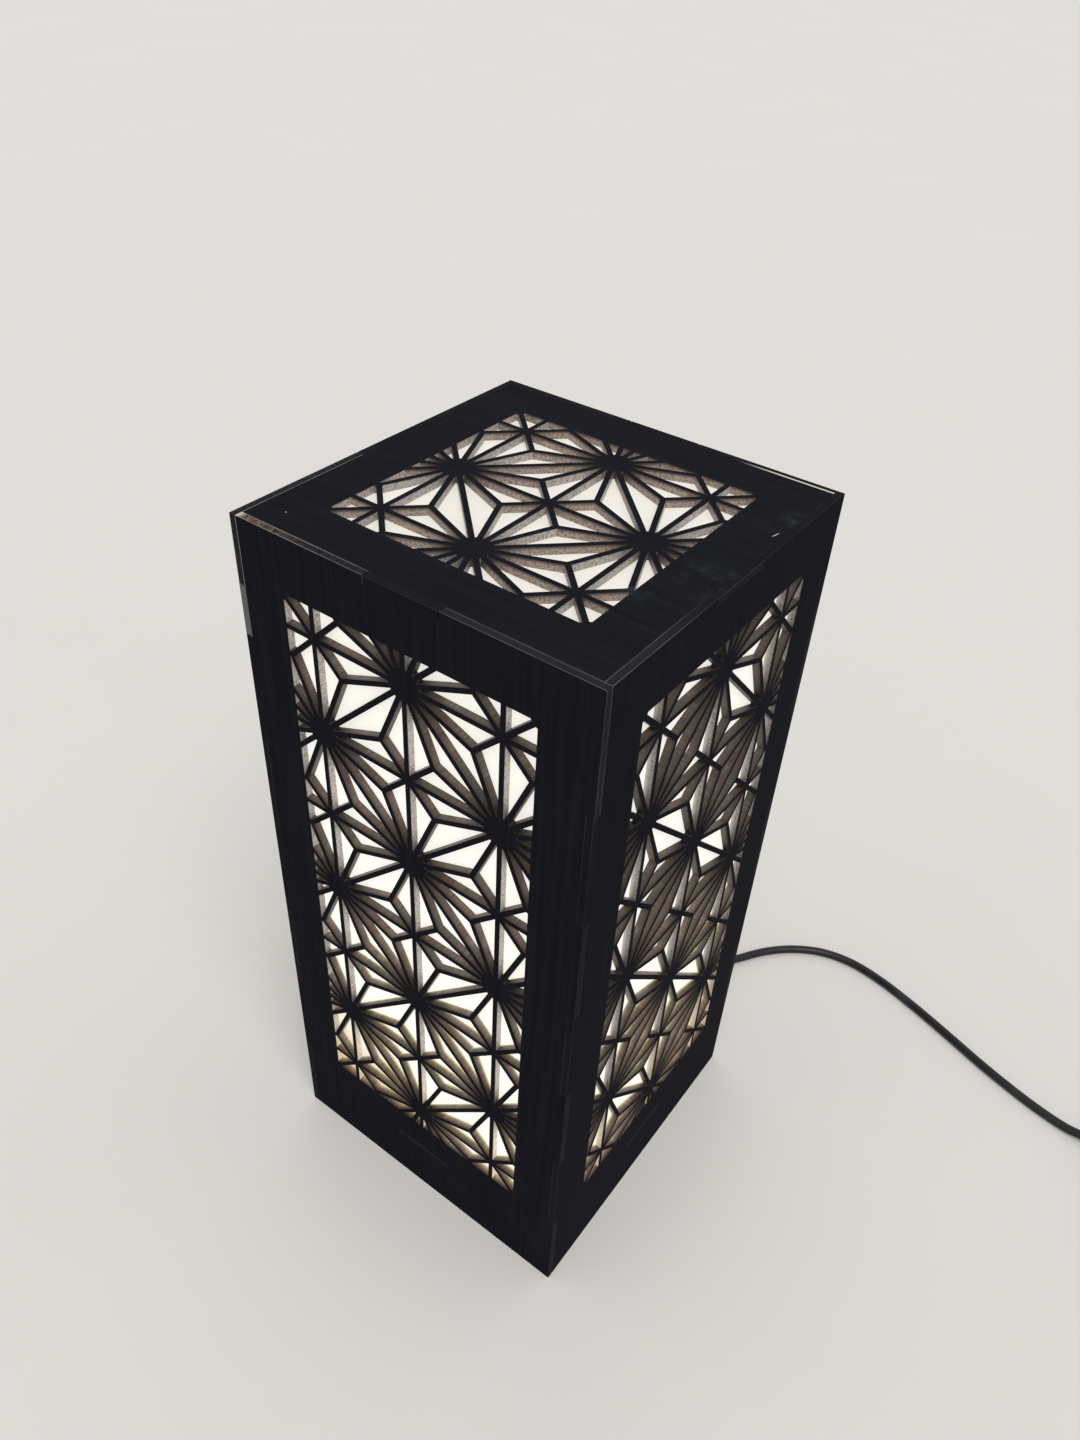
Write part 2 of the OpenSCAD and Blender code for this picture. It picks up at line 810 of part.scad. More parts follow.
lug_t = 2.4;
rest_tilt = rocker_travel / 2;
module switch_posts(low, high) {
    for (x = [-1, 1])
        translate([switch_at[0] + x * switch_screw_at, switch_at[1], low])
            cylinder(d = post_d, h = high - low);
}
module switch_base() {
    color(black_colour)
        difference() {
            union() {
                difference() {
                    switch_hull(0, 0, switch_mid);
                    switch_hull(switch_wall, switch_wall, switch_mid + 1);
                }
                switch_posts(switch_wall / 2, switch_mid);
            }
            for (x = [-1, 1])
                translate([switch_at[0] + x * switch_screw_at, switch_at[1], -1]) {
                    cylinder(d = switch_screw_d + 0.4, h = switch_mid + 2);
                    cylinder(d = 5, h = 2.2);
                }
        }
}
module switch_cover() {
    color(black_colour)
        difference() {
            union() {
                difference() {
                    switch_hull(0, switch_mid, switch_h);
                    switch_hull(switch_wall, switch_mid - 1, switch_h - switch_wall);
                }
                switch_posts(switch_mid, switch_h - switch_wall / 2);
                for (y = [-1, 1])
                    translate([
                        switch_at[0] - lug_w / 2,
                        switch_at[1] + y * (rocker_w / 2 + lug_t / 2 + rocker_gap + 0.1) - lug_t / 2,
                        pivot_z - lug_w / 2
                    ])
                        cube([lug_w, lug_t, switch_h - switch_wall / 2 - pivot_z + lug_w / 2]);
            }
            translate([
                switch_at[0] - rocker_r - rocker_gap,
                switch_at[1] - rocker_w / 2 - rocker_gap,
                switch_mid - 1
            ])
                cube([2 * (rocker_r + rocker_gap), rocker_w + 2 * rocker_gap, switch_h]);
            translate([switch_at[0], switch_at[1], pivot_z])
                rotate([90, 0, 0])
                    cylinder(r = pin_r + pin_gap, h = rocker_w + 10, center = true);
            for (x = [-1, 1])
                translate([switch_at[0] + x * switch_screw_at, switch_at[1], switch_mid - 1])
                    cylinder(d = switch_screw_d, h = 6);
        }
}
module switch_rocker() {
    color(rocker_colour)
        translate([switch_at[0], switch_at[1], pivot_z])
            rotate([0, -rest_tilt, 0])
                rotate([90, 0, 0])
                    union() {
                        intersection() {
                            cylinder(r = rocker_r, h = rocker_w, center = true);
                            translate([0, 0, -rocker_w])
                                linear_extrude(2 * rocker_w)
                                    polygon([
                                        [-rocker_r, -2.6],
                                        [rocker_r, -2.6],
                                        [rocker_r, 5.2],
                                        [0, 3.8],
                                        [-rocker_r, 5.2]
                                    ]);
                        }
                        cylinder(r = pin_r, h = rocker_w + 2 * pin_reach, center = true);
                    }
}
strip_l = 10;
strip_w = 6;
strip_t = 1;
module switch_contacts() {
    color(brass_colour)
        for (x = [-1, 1])
            translate([switch_at[0] + x * strip_l - strip_l / 2, switch_at[1] - strip_w / 2, switch_wall])
                union() {
                    cube([strip_l, strip_w, strip_t]);
                    translate([x > 0 ? 0 : strip_l - strip_t, 0, 0])
                        cube([strip_t, strip_w, 3 * strip_t]);
                }
}
module switch_screws() {
    color(steel_colour)
        for (x = [-1, 1])
            translate([switch_at[0] + x * switch_screw_at, switch_at[1], 0.4]) {
                cylinder(d = 4.6, h = 0.8);
                cylinder(d = switch_screw_d, h = switch_mid + 4);
            }
}

// Plug: a flat two-pin plug lying at the end of the cord
boot_l = 24;
plug_w = 35;
module plug_boot() {
    color(black_colour)
        translate([plug_at[0], plug_at[1], plug_mid])
            rotate([90, 0, 0])
                rotate_extrude()
                    polygon([
                        [0, 0],
                        [cord_d / 2 + 0.4, 0],
                        [cord_d / 2 + 1, 1],
                        [cord_d / 2 + 2.6, boot_l - 2],
                        [cord_d / 2 + 2.6, boot_l],
                        [0, boot_l]
                    ]);
}
plug_y = plug_at[1] - boot_l;
module plug_body() {
    color(black_colour)
        translate([plug_at[0], plug_y, 0])
            linear_extrude(plug_t)
                polygon([
                    [-cord_d, 0],
                    [-plug_w / 2 + 2, -plug_l * 0.42],
                    [-plug_w / 2, -plug_l * 0.5],
                    [-plug_w / 2, -plug_l + 2],
                    [-plug_w / 2 + 2, -plug_l],
                    [plug_w / 2 - 2, -plug_l],
                    [plug_w / 2, -plug_l + 2],
                    [plug_w / 2, -plug_l * 0.5],
                    [plug_w / 2 - 2, -plug_l * 0.42],
                    [cord_d, 0]
                ]);
}
sleeve_l = 10;
sleeve_d = pin_d - 0.4;
module at_pins(y) {
    for (x = [-1, 1])
        translate([plug_at[0] + x * pin_pitch / 2, y, plug_mid])
            rotate([90, 0, 0])
                children();
}
module plug_sleeves() {
    color(black_colour)
        at_pins(plug_y - plug_l)
            cylinder(d = sleeve_d, h = sleeve_l);
}
module plug_pins() {
    color(brass_colour)
        at_pins(plug_y - plug_l - sleeve_l)
            union() {
                cylinder(d = pin_d, h = pin_l - sleeve_l - 1);
                translate([0, 0, pin_l - sleeve_l - 1])
                    cylinder(d1 = pin_d, d2 = pin_d - 1.2, h = 1);
            }
}

side_panel_front();
side_panel_right();
side_panel_back();
side_panel_left();
top_panel();
base_plate();
diffuser_front();
diffuser_right();
diffuser_back();
diffuser_left();
diffuser_top();
holder_base();
holder_shell();
holder_thread();
holder_contact();
terminal_screws();
holder_screws();
holder_nuts();
bulb_contact();
bulb_insulator();
bulb_cap();
bulb_housing();
led_board();
led_chips();
bulb_globe();
cord_gland();
gland_nut();
inner_flex();
core_wires();
strain_relief();
cord_lead();
switch_base();
switch_cover();
switch_rocker();
switch_contacts();
switch_screws();
cord_link();
cord_coil();
cord_tie();
cord_tail();
plug_boot();
plug_body();
plug_sleeves();
plug_pins();
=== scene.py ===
# %% [markdown]
# # A star-lattice table lamp
# This notebook dresses a square table lamp. Its dark boards are cut through with a traditional
# hemp-leaf star pattern, and white sheets behind them glow with the bulb's light.
# The construction is already made: each board, screw and contact is a solid at its real size.
# Here they get their finishes, the cord gets its real length, and a camera and lights are set up.
# All sizes are in metres, with the lamp's foot centred at the origin and its front facing -Y.

# %% Load the lamp's solids
import math

import bpy
from mathutils import Matrix, Vector


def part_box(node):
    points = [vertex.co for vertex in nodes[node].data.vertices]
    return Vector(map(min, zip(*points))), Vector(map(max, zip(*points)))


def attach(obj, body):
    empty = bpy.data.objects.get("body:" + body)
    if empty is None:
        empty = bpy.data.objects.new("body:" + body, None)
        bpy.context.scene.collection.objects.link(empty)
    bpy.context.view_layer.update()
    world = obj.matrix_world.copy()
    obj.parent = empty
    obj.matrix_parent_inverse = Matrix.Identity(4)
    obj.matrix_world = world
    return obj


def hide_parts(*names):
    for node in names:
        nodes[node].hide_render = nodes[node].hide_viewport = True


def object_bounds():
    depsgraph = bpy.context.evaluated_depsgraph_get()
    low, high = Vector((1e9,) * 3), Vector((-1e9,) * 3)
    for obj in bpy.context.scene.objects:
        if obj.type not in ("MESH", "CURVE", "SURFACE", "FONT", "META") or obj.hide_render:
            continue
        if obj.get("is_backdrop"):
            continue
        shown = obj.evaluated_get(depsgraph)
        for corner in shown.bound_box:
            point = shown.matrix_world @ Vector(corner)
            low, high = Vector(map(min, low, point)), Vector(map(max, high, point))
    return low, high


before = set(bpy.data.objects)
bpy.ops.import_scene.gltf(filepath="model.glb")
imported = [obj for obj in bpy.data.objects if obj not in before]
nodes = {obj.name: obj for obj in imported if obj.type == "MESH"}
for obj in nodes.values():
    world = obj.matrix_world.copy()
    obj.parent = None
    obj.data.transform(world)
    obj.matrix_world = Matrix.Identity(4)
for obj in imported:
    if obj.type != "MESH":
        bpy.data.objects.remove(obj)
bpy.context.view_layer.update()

# %% [markdown]
# ## The camera
# A phone took the picture from above the front right corner, held a little askew. Its place was
# worked out from the lamp's corners, so it is given as a position and three turns. A camera could
# be placed by eye, but one that is fitted lets the render be compared with the picture, point by
# point. The picture is upright, and Blender's sensor width belongs to its longer side.

# %% Set up the camera
CAMERA_AT = Vector((0.26301, -0.37520, 0.69208))
CAMERA_AZIMUTH = math.radians(34.85)
CAMERA_ELEVATION = math.radians(38.84)
CAMERA_ROLL = math.radians(3.13)
FOCAL_MM = 28.01
SENSOR_MM = 36.0


def add_camera():
    level = math.cos(CAMERA_ELEVATION)
    back = Vector((
        math.sin(CAMERA_AZIMUTH) * level,
        -math.cos(CAMERA_AZIMUTH) * level,
        math.sin(CAMERA_ELEVATION),
    ))
    right = Vector((0, 0, 1)).cross(back).normalized()
    up = back.cross(right)
    turn = Matrix.Rotation(CAMERA_ROLL, 3, back)
    axes = Matrix((turn @ right, turn @ up, back)).transposed()
    data = bpy.data.cameras.new("camera")
    data.lens = FOCAL_MM
    data.sensor_width = SENSOR_MM
    data.clip_start = 0.01
    data.clip_end = 50
    camera = bpy.data.objects.new("camera", data)
    bpy.context.scene.collection.objects.link(camera)
    camera.matrix_world = Matrix.Translation(CAMERA_AT) @ axes.to_4x4()
    bpy.context.scene.camera = camera
    return camera


camera = add_camera()
print("camera at", tuple(round(x, 3) for x in camera.location))

# %% [markdown]
# ## Finishes
# A finish is a small tree of nodes that ends in one shader. The class below makes the tree and
# keeps the few steps that every finish here needs: a place on the piece, a noise, a soft step
# from one value to another, a mix of two colours, and a bump. The nodes could be written out for
# each finish, but then the same lines would come back many times. Colours and numbers that don't
# vary are written on the shader itself.

# %% A helper for finishes
class Finish:
    """A material with one shader, and short names for the nodes that feed it."""

    def __init__(self, name, color, roughness, metallic=0.0, specular=0.5):
        self.material = bpy.data.materials.new(name)
        self.material.use_nodes = True
        self.tree = self.material.node_tree
        self.shader = self.tree.nodes["Principled BSDF"]
        self.set("Base Color", (*color, 1))
        self.set("Roughness", roughness)
        self.set("Metallic", metallic)
        self.set("Specular IOR Level", specular)
        self.material.diffuse_color = (*color, 1)

    def set(self, socket, value):
        self.shader.inputs[socket].default_value = value

    def feed(self, socket, output):
        self.tree.links.new(output, self.shader.inputs[socket])

    def node(self, kind, settings=(), **inputs):
        made = self.tree.nodes.new(kind)
        for key, value in dict(settings).items():
            setattr(made, key, value)
        for key, value in inputs.items():
            socket = made.inputs[key.replace("_", " ")]
            if isinstance(value, bpy.types.NodeSocket):
                self.tree.links.new(value, socket)
            else:
                socket.default_value = value
        return made

    def place(self, stretch=(1, 1, 1)):
        """The point on the piece in metres, stretched along each axis."""
        spot = self.node("ShaderNodeTexCoord").outputs["Object"]
        mapping = self.node("ShaderNodeMapping", Vector=spot)
        mapping.inputs["Scale"].default_value = stretch
        return mapping.outputs["Vector"]

    def axis(self, letter):
        split = self.node("ShaderNodeSeparateXYZ", Vector=self.place())
        return split.outputs[letter]

    def noise(self, stretch, scale=1.0, detail=3.0, roughness=0.55):
        made = self.node("ShaderNodeTexNoise", Vector=self.place(stretch), Scale=scale, Detail=detail)
        made.inputs["Roughness"].default_value = roughness
        return made.outputs["Fac"]

    def math(self, operation, a, b=0.0, c=0.0):
        made = self.node("ShaderNodeMath", {"operation": operation})
        for socket, value in zip(made.inputs, (a, b, c)):
            if isinstance(value, bpy.types.NodeSocket):
                self.tree.links.new(value, socket)
            else:
                socket.default_value = value
        return made.outputs[0]

    def step(self, value, low, high, at_low=0.0, at_high=1.0):
        """A soft step from at_low to at_high as the value goes from low to high."""
        made = self.node("ShaderNodeMapRange", {"interpolation_type": "SMOOTHSTEP"}, Value=value)
        made.inputs["From Min"].default_value = low
        made.inputs["From Max"].default_value = high
        made.inputs["To Min"].default_value = at_low
        made.inputs["To Max"].default_value = at_high
        return made.outputs["Result"]

    def mix(self, share, a, b, blend="MIX"):
        made = self.node("ShaderNodeMix", {"data_type": "RGBA", "blend_type": blend})
        for socket, value in zip((made.inputs[0], made.inputs[6], made.inputs[7]), (share, a, b)):
            if isinstance(value, bpy.types.NodeSocket):
                self.tree.links.new(value, socket)
            elif isinstance(value, tuple):
                socket.default_value = (*value, 1)
            else:
                socket.default_value = value
        return made.outputs[2]

    def bump(self, height, depth, strength=1.0):
        made = self.node("ShaderNodeBump", Height=height, Strength=strength, Distance=depth)
        self.feed("Normal", made.outputs["Normal"])


# %% [markdown]
# ## The cord
# The cord is a round two-core flex, 6 mm thick and 1.8 m long. It leaves the strain relief behind
# the lamp, drops to the floor and runs out of the picture to a rocker switch. From the switch it
# winds into a flat tied coil, and ends in a plug. The route's points are in millimetres, as a cable
# is laid out on a drawing, and the code turns them into metres.

# %% Where the cord runs
MM = 0.001
CORD_D = 6.0
OUTLET = (50, 126.5, 18)
SWITCH_AT = (383, 200, 6.9)
SWITCH_HALF = 31
COIL_AT = (420, 130)
COIL_R = 42.5
COIL_PITCH = 6.6
COIL_TURNS = 6
COIL_LOW = 4.0
LEAD_ROUTE = [
    OUTLET, (50, 132.5, 18), (51, 144, 15), (54, 157, 8), (61, 172, 4), (72, 189, 3), (85, 208, 3),
    (101, 224, 3), (121, 236, 3), (144, 241, 3), (170, 239, 3), (200, 232, 3), (230, 223, 3),
    (262, 213, 3), (294, 205, 3), (319, 201, 3.4), (334, 200, 5.6), (346, 200, 6.9),
    (SWITCH_AT[0] - SWITCH_HALF, *SWITCH_AT[1:]),
]
LINK_ROUTE = [
    (SWITCH_AT[0] + SWITCH_HALF, *SWITCH_AT[1:]), (420, 200, 6.9), (432, 198, 5.6), (446, 190, 4.2),
    (456, 176, 4), (461, 160, 4), (462.5, 142, 4), (462.5, 136, 4),
]
TAIL_ROUTE = [
    (462.5, 124, 10.6), (462.5, 118, 10.6), (462, 106, 8.6), (461, 92, 5.2), (459, 77, 3.6),
    (457, 63, 4), (456, 52, 6), (455, 42, 6.85), (455, 36, 6.85),
]

# %% [markdown]
# A flex doesn't turn sharply at a point, so the points are joined by a line that bends softly
# through them. The first and last pieces stay straight, because there the flex is held. Blender has
# smooth curves of its own, but a line that is worked out here can also be measured here.

# %% Bend the line through its points
def smooth_route(points, steps=10):
    """Straight at both ends and curved through every point between them."""
    p = [Vector(point) for point in points]
    line = [p[0]]
    for a, b, c, d in zip(p, p[1:], p[2:], p[3:]):
        for k in range(steps):
            t = k / steps
            bend = 2 * a - 5 * b + 4 * c - d + t * (3 * (b - c) + d - a)
            line.append(b + 0.5 * t * (c - a + t * bend))
    return line + [p[-2], p[-1]]


def coil_route(steps=72):
    """Inward on the floor, up one layer in half a turn, and outward on top."""
    line = []
    for k in range(COIL_TURNS * steps + 1):
        s = k / steps
        r = COIL_R - COIL_PITCH * min(s, COIL_TURNS - s)
        t = min(1, max(0, (s - COIL_TURNS / 2 + 0.25) / 0.5))
        turn = -2 * math.pi * s
        x, y = COIL_AT[0] + r * math.cos(turn), COIL_AT[1] + r * math.sin(turn)
        line.append(Vector((x, y, COIL_LOW + COIL_PITCH * t * t * (3 - 2 * t))))
    return line


def route_length(line):
    return sum((b - a).length for a, b in zip(line, line[1:])) * MM


lead_line = smooth_route(LEAD_ROUTE)
tail_line = smooth_route(LINK_ROUTE) + coil_route() + smooth_route(TAIL_ROUTE)
for part, line in (("outlet to switch", lead_line), ("switch to plug", tail_line)):
    print(part + ":", round(route_length(line), 4), "m of cord")


# %% [markdown]
# The sheath is black PVC with a soft shine and a faint texture, and dust sticks to it in patches.
# The patches come from a noise that makes the sheath a little greyer and duller where it is high.

# %% The finish of the flex
FLEX_BLACK = (0.0075, 0.0080, 0.0105)
FLEX_DUST = (0.060, 0.060, 0.062)
DUST_SHARE = 0.3


def flex_finish():
    finish = Finish("black_flex", FLEX_BLACK, 0.34, specular=0.3)
    dust = finish.step(finish.noise((1, 1, 1), scale=60, detail=5), 0.5, 0.75)
    dusty = finish.math("MULTIPLY", dust, DUST_SHARE)
    finish.feed("Base Color", finish.mix(dusty, FLEX_BLACK, FLEX_DUST))
    finish.feed("Roughness", finish.step(dust, 0, 1, 0.32, 0.5))
    finish.bump(finish.noise((1, 1, 1), scale=900, detail=2), 0.00008, 0.35)
    return finish.material


# %% [markdown]
# A cord could be a mesh made of many rings. An open curve with a round section is shorter to write,
# keeps the same thickness in every bend, and can still be changed by its points. Each length takes
# the place of the plain solids that stand for it in the lamp.

# %% Sweep the two lengths of flex
def sweep(name, line, diameter, material):
    """A round cord as one open curve along a line of points in millimetres."""
    data = bpy.data.curves.new(name, "CURVE")
    data.dimensions = "3D"
    data.bevel_depth = diameter / 2 * MM
    data.bevel_resolution = 5
    data.use_fill_caps = True
    spline = data.splines.new("POLY")
    spline.points.add(len(line) - 1)
    for point, at in zip(spline.points, line):
        point.co = (*(at * MM), 1)
    spline.use_smooth = True
    data.materials.append(material)
    made = bpy.data.objects.new(name, data)
    bpy.context.scene.collection.objects.link(made)
    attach(made, "lamp")
    return made


black_flex = flex_finish()
flex_lead = sweep("flex_lead", lead_line, CORD_D, black_flex)
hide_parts("cord_lead")
flex_tail = sweep("flex_tail", tail_line, CORD_D, black_flex)
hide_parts("cord_link", "cord_coil", "cord_tail")

# %% [markdown]
# A cord is more than its shape: where it comes out, how long and thick it is, what is at its far
# end and how it lies. The lengths are summed from the routes, so they stay true when a route is
# changed.

# %% [markdown]
# ## The boards
# The boards are thin fibreboard with a near-black wood-grain film on both faces, cut by laser.
# A board so made shows three finishes: the film on its faces, the scorched brown walls of the
# lattice, and the end grain at the joints, where the film's edge shows as a thin pale line.
# A board could be split into a piece for each finish, but one object can carry several materials,
# so here each face is given its finish by the way it looks.

# %% Which way each board's thickness runs
BOARDS = {
    "side_panel_front": "Y", "side_panel_back": "Y",
    "side_panel_right": "X", "side_panel_left": "X",
    "top_panel": "Z", "base_plate": "Z",
}
AXES = "XYZ"
TOP_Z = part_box("top_panel")[1].z
PANEL_MID = sum(corner.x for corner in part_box("side_panel_right")) / 2
print("top at", round(TOP_Z, 4), "and the side boards' middle at", round(PANEL_MID, 4))


def stretched(along, fine, coarse):
    """Fine on two axes and coarse along the third, so that a noise turns into long streaks."""
    return tuple(coarse if letter == along else fine for letter in AXES)


# %% [markdown]
# The top has been handled: thin dust lies all over it, a bluish haze of it along its right side,
# and there are one white chip and a few specks. Such marks could be painted on a picture. Here each
# is a soft spot at a place on the board, stretched where the real mark is long, and flat in height,
# so that it doesn't show on any board below.

# %% Marks on the top
DUST = (0.085, 0.100, 0.115)
TOP_DUST = 0.028
HAZE_SHARE = 0.40
HAZE_SPOTS = [((0.089, -0.010), 0.022), ((0.091, 0.056), 0.018), ((0.070, -0.035), 0.016)]
CHIP = (0.62, 0.62, 0.60)
CHIP_AT, CHIP_SIZE, CHIP_TURN = (0.0933, 0.0424), (0.0034, 0.00032), math.radians(76)
SPECKS_AT = [
    (0.0962, -0.0204), (0.0406, -0.0961), (-0.0817, -0.0836), (-0.062, -0.060), (0.098, -0.096),
]
SPECK_SIZE = (0.0006, 0.0006)
SPECK_SHARE = 0.7
MARK_DEPTH = 0.02


def spot(finish, at, size, turn=0.0):
    """1 at a place on the top, falling softly to 0 at the edge of an oval of these half sizes."""
    mapping = finish.node("ShaderNodeMapping", {"vector_type": "TEXTURE"}, Vector=finish.place())
    mapping.inputs["Location"].default_value = (*at, TOP_Z)
    mapping.inputs["Rotation"].default_value = (0, 0, turn)
    mapping.inputs["Scale"].default_value = (*size, MARK_DEPTH)
    length = finish.node("ShaderNodeVectorMath", {"operation": "LENGTH"})
    finish.tree.links.new(mapping.outputs["Vector"], length.inputs[0])
    return finish.step(length.outputs["Value"], 0, 1, 1, 0)


def handled_top(finish, color):
    """Dust, a chip and specks on the upper side of the lid."""
    wisps = finish.step(finish.noise((1, 1, 1), scale=70, detail=8, roughness=0.75), 0.42, 0.72)
    color = finish.mix(TOP_DUST, color, DUST)
    for at, radius in HAZE_SPOTS:
        haze = finish.math("MULTIPLY", spot(finish, at, (radius, radius)), wisps)
        color = finish.mix(finish.math("MULTIPLY", haze, HAZE_SHARE), color, DUST)
    chip = finish.step(spot(finish, CHIP_AT, CHIP_SIZE, CHIP_TURN), 0.1, 0.35)
    color = finish.mix(chip, color, CHIP)
    for at in SPECKS_AT:
        speck = finish.step(spot(finish, at, SPECK_SIZE), 0.1, 0.5)
        color = finish.mix(finish.math("MULTIPLY", speck, SPECK_SHARE), color, CHIP)
    return color


# %% [markdown]
# The film is near black, with a printed wood grain that hardly shows. A noise stretched along the
# grain gives long streaks, which need no picture and never repeat. They change the colour a little
# and press a shallow relief into it.

# %% The film on the boards' faces
FILM_DARK = (0.0088, 0.0091, 0.0126)
FILM_LIGHT = (0.0132, 0.0136, 0.0184)
FILM_PORE = (0.0070, 0.0073, 0.0100)


def film_finish(grain):
    finish = Finish("board_film_grain_" + grain.lower(), FILM_LIGHT, 0.42, specular=0.001)
    streaks = finish.noise(stretched(grain, 330, 9), detail=6, roughness=0.62)
    pores = finish.noise(stretched(grain, 1500, 40), detail=2)
    color = finish.mix(finish.step(streaks, 0.3, 0.75), FILM_DARK, FILM_LIGHT)
    color = finish.mix(finish.step(pores, 0.6, 0.72), color, FILM_PORE)
    haze = finish.step(finish.noise((1, 1, 1), scale=14, detail=7, roughness=0.7), 0.52, 0.8)
    color = finish.mix(finish.math("MULTIPLY", haze, 0.05), color, DUST)
    if grain == "X":
        color = handled_top(finish, color)
    finish.feed("Base Color", color)
    rough = finish.step(streaks, 0.3, 0.7, 0.36, 0.46)
    finish.feed("Roughness", finish.math("ADD", rough, finish.math("MULTIPLY", haze, 0.15)))
    relief = finish.math("ADD", finish.math("MULTIPLY", pores, 0.5), streaks)
    finish.bump(relief, 0.00008, 0.35)
    return finish.material


# %% [markdown]
# The laser leaves the walls of the lattice scorched brown, with fine ridges that run straight
# through the board. The walls beside the upright bars are paler, a speckled pinkish grey, which is
# a painted reflection of the lit sheets. The lid's walls are all a speckled greyish pink. Each
# board's walls differ a little in the real lamp's light, which is painted in: a share for each axis
# scales the colours, X for the boards at the sides, Y for the front and back, and Z for the lid.
# How deep a point lies in its board is worked out from the board's own faces.

# %% Colours of the lattice walls
# The laser's scorch colour, also used for painted shade in the dark strip at a wall's outer face.
SCORCH_AND_SHADE = (0.050, 0.036, 0.029)
TAN = (0.290, 0.228, 0.184)
UMBER = (0.178, 0.106, 0.076)
OLIVE = (0.152, 0.141, 0.108)
# Painted light: each board's brown walls are scaled for the light that falls on them.
TAN_SHARE = {"X": 0.76, "Y": 1.0}
LID_PINK = (0.475, 0.385, 0.335)
LID_SHARES = (1.0, 0.78, 0.86)
# The pale walls' grey is a painted reflection of the lit sheets; the specks are the wall's own.
SHEET_SHEEN = (0.64, 0.595, 0.56)
SHEEN_SPECK = (0.27, 0.235, 0.22)
SHEEN_SHARE = {"X": 0.52, "Y": 1.0, "Z": 0.78}
BLACK = (0.0, 0.0, 0.0)


def toned(color, factor):
    return tuple(factor * c for c in color)


def brown_tones(axis):
    """The three colours that run into one another on a board's brown walls."""
    if axis == "Z":
        return [toned(LID_PINK, share) for share in LID_SHARES]
    return [toned(color, TAN_SHARE[axis]) for color in (TAN, UMBER, OLIVE)]


def thickness_share(finish, axis, low, high):
    """0 at the inner face of a board and 1 at its outer face."""
    reach = finish.math("ABSOLUTE", finish.axis(axis))
    return finish.math("DIVIDE", finish.math("SUBTRACT", reach, low), high - low)


# %% [markdown]
# Round the solid middle of each large star the bars stand so close that little light gets in
# between them, and their walls get a painted shade, nearly black. Large and small stars take turns
# like the squares of a chessboard. The distance to every large star could be taken in turn. But
# seen at 45 degrees they form a plain grid, and what rounding leaves over tells at once how far a
# point is from the nearest of them.

# %% Painted shade round the large stars
HUB_SHADE = (0.016, 0.014, 0.013)
HUB_SHADE_SHARE = {"X": 0.85, "Y": 0.85, "Z": 0.7}
HUB_SHADE_FROM = 0.0085
HUB_SHADE_REACH = {"X": 0.026, "Y": 0.024, "Z": 0.020}
STAR_PITCH = 0.0535
WINDOW_Z = 0.243


def near_large_star(finish, axis):
    """1 at the solid middle of the nearest large star, falling to 0 where its bars spread out."""
    across = finish.axis("Y" if axis == "X" else "X")
    upward = finish.axis("Y") if axis == "Z" else finish.math("SUBTRACT", finish.axis("Z"), WINDOW_Z)
    across = finish.math("SUBTRACT", across, STAR_PITCH)
    away = []
    for way in ("ADD", "SUBTRACT"):
        count = finish.math("DIVIDE", finish.math(way, across, upward), 2 * STAR_PITCH)
        off = finish.math("SUBTRACT", count, finish.math("ROUND", count))
        away.append(finish.math("MULTIPLY", off, off))
    far = finish.math("SQRT", finish.math("ADD", *away))
    far = finish.math("MULTIPLY", far, STAR_PITCH * math.sqrt(2))
    return finish.step(far, HUB_SHADE_FROM, HUB_SHADE_REACH[axis], 1, 0)


# Painted shade: walls near the middle of a large star are darkened, as little light gets in there.
def hub_shaded(finish, axis, color, share):
    hub_dark = finish.math("MULTIPLY", near_large_star(finish, axis), share * HUB_SHADE_SHARE[axis])
    return finish.mix(hub_dark, color, HUB_SHADE)


# %% [markdown]
# The bulb's light is strongest low down, behind the front right part of the lattice. Beside that
# place it creeps from the sheet along the walls as a faint yellowish rim. Many bounces of light
# could find such a rim by themselves, but slowly and with much noise. So it is a little emission in
# the wall's own finish, strongest at the inner face of the board.

# %% The rim of light beside the brightest part
RIM_GLOW = (0.50, 0.48, 0.20)
GLOW_AT = (0.045, -0.045)
RIM_FROM, RIM_TO = (0.055, 0.085), (0.15, 0.24)
RIM_REACH = (0.075, 0.150)
RIM_DEPTH = 0.42


def away_from_glow(finish):
    """How far a point lies, in plan, from the place in the lamp where its light is strongest."""
    split = finish.node("ShaderNodeSeparateXYZ", Vector=finish.place())
    squares = []
    for letter, middle in zip("XY", GLOW_AT):
        off = finish.math("SUBTRACT", split.outputs[letter], middle)
        squares.append(finish.math("MULTIPLY", off, off))
    return finish.math("SQRT", finish.math("ADD", *squares))


def rim_glow(finish, share):
    """Light that creeps along the walls from the sheet, only beside the brightest part of it."""
    z = finish.axis("Z")
    height = finish.math("MULTIPLY", finish.step(z, *RIM_FROM), finish.step(z, *RIM_TO, 1, 0))
    zone = finish.math("MULTIPLY", height, finish.step(away_from_glow(finish), *RIM_REACH, 1, 0))
    rim = finish.math("MULTIPLY", zone, finish.step(share, 0.0, RIM_DEPTH, 1, 0))
    finish.feed("Emission Color", finish.mix(rim, BLACK, RIM_GLOW))
    finish.set("Emission Strength", 1.0)


# %% [markdown]
# A brown wall takes its parts in this order: three tones in patches and bands, the dark ridges of
# the cut, or specks on the lid, painted light that grows toward the foot, the painted shade round the
# large stars, a warm tinge painted at the foot where light from the floor of the lamp falls on the
# inner half, and last the dark strip at the face: the scorch where the beam went in, deepened by
# painted shade away from the lit sheet. Each is one mix laid over the one before.

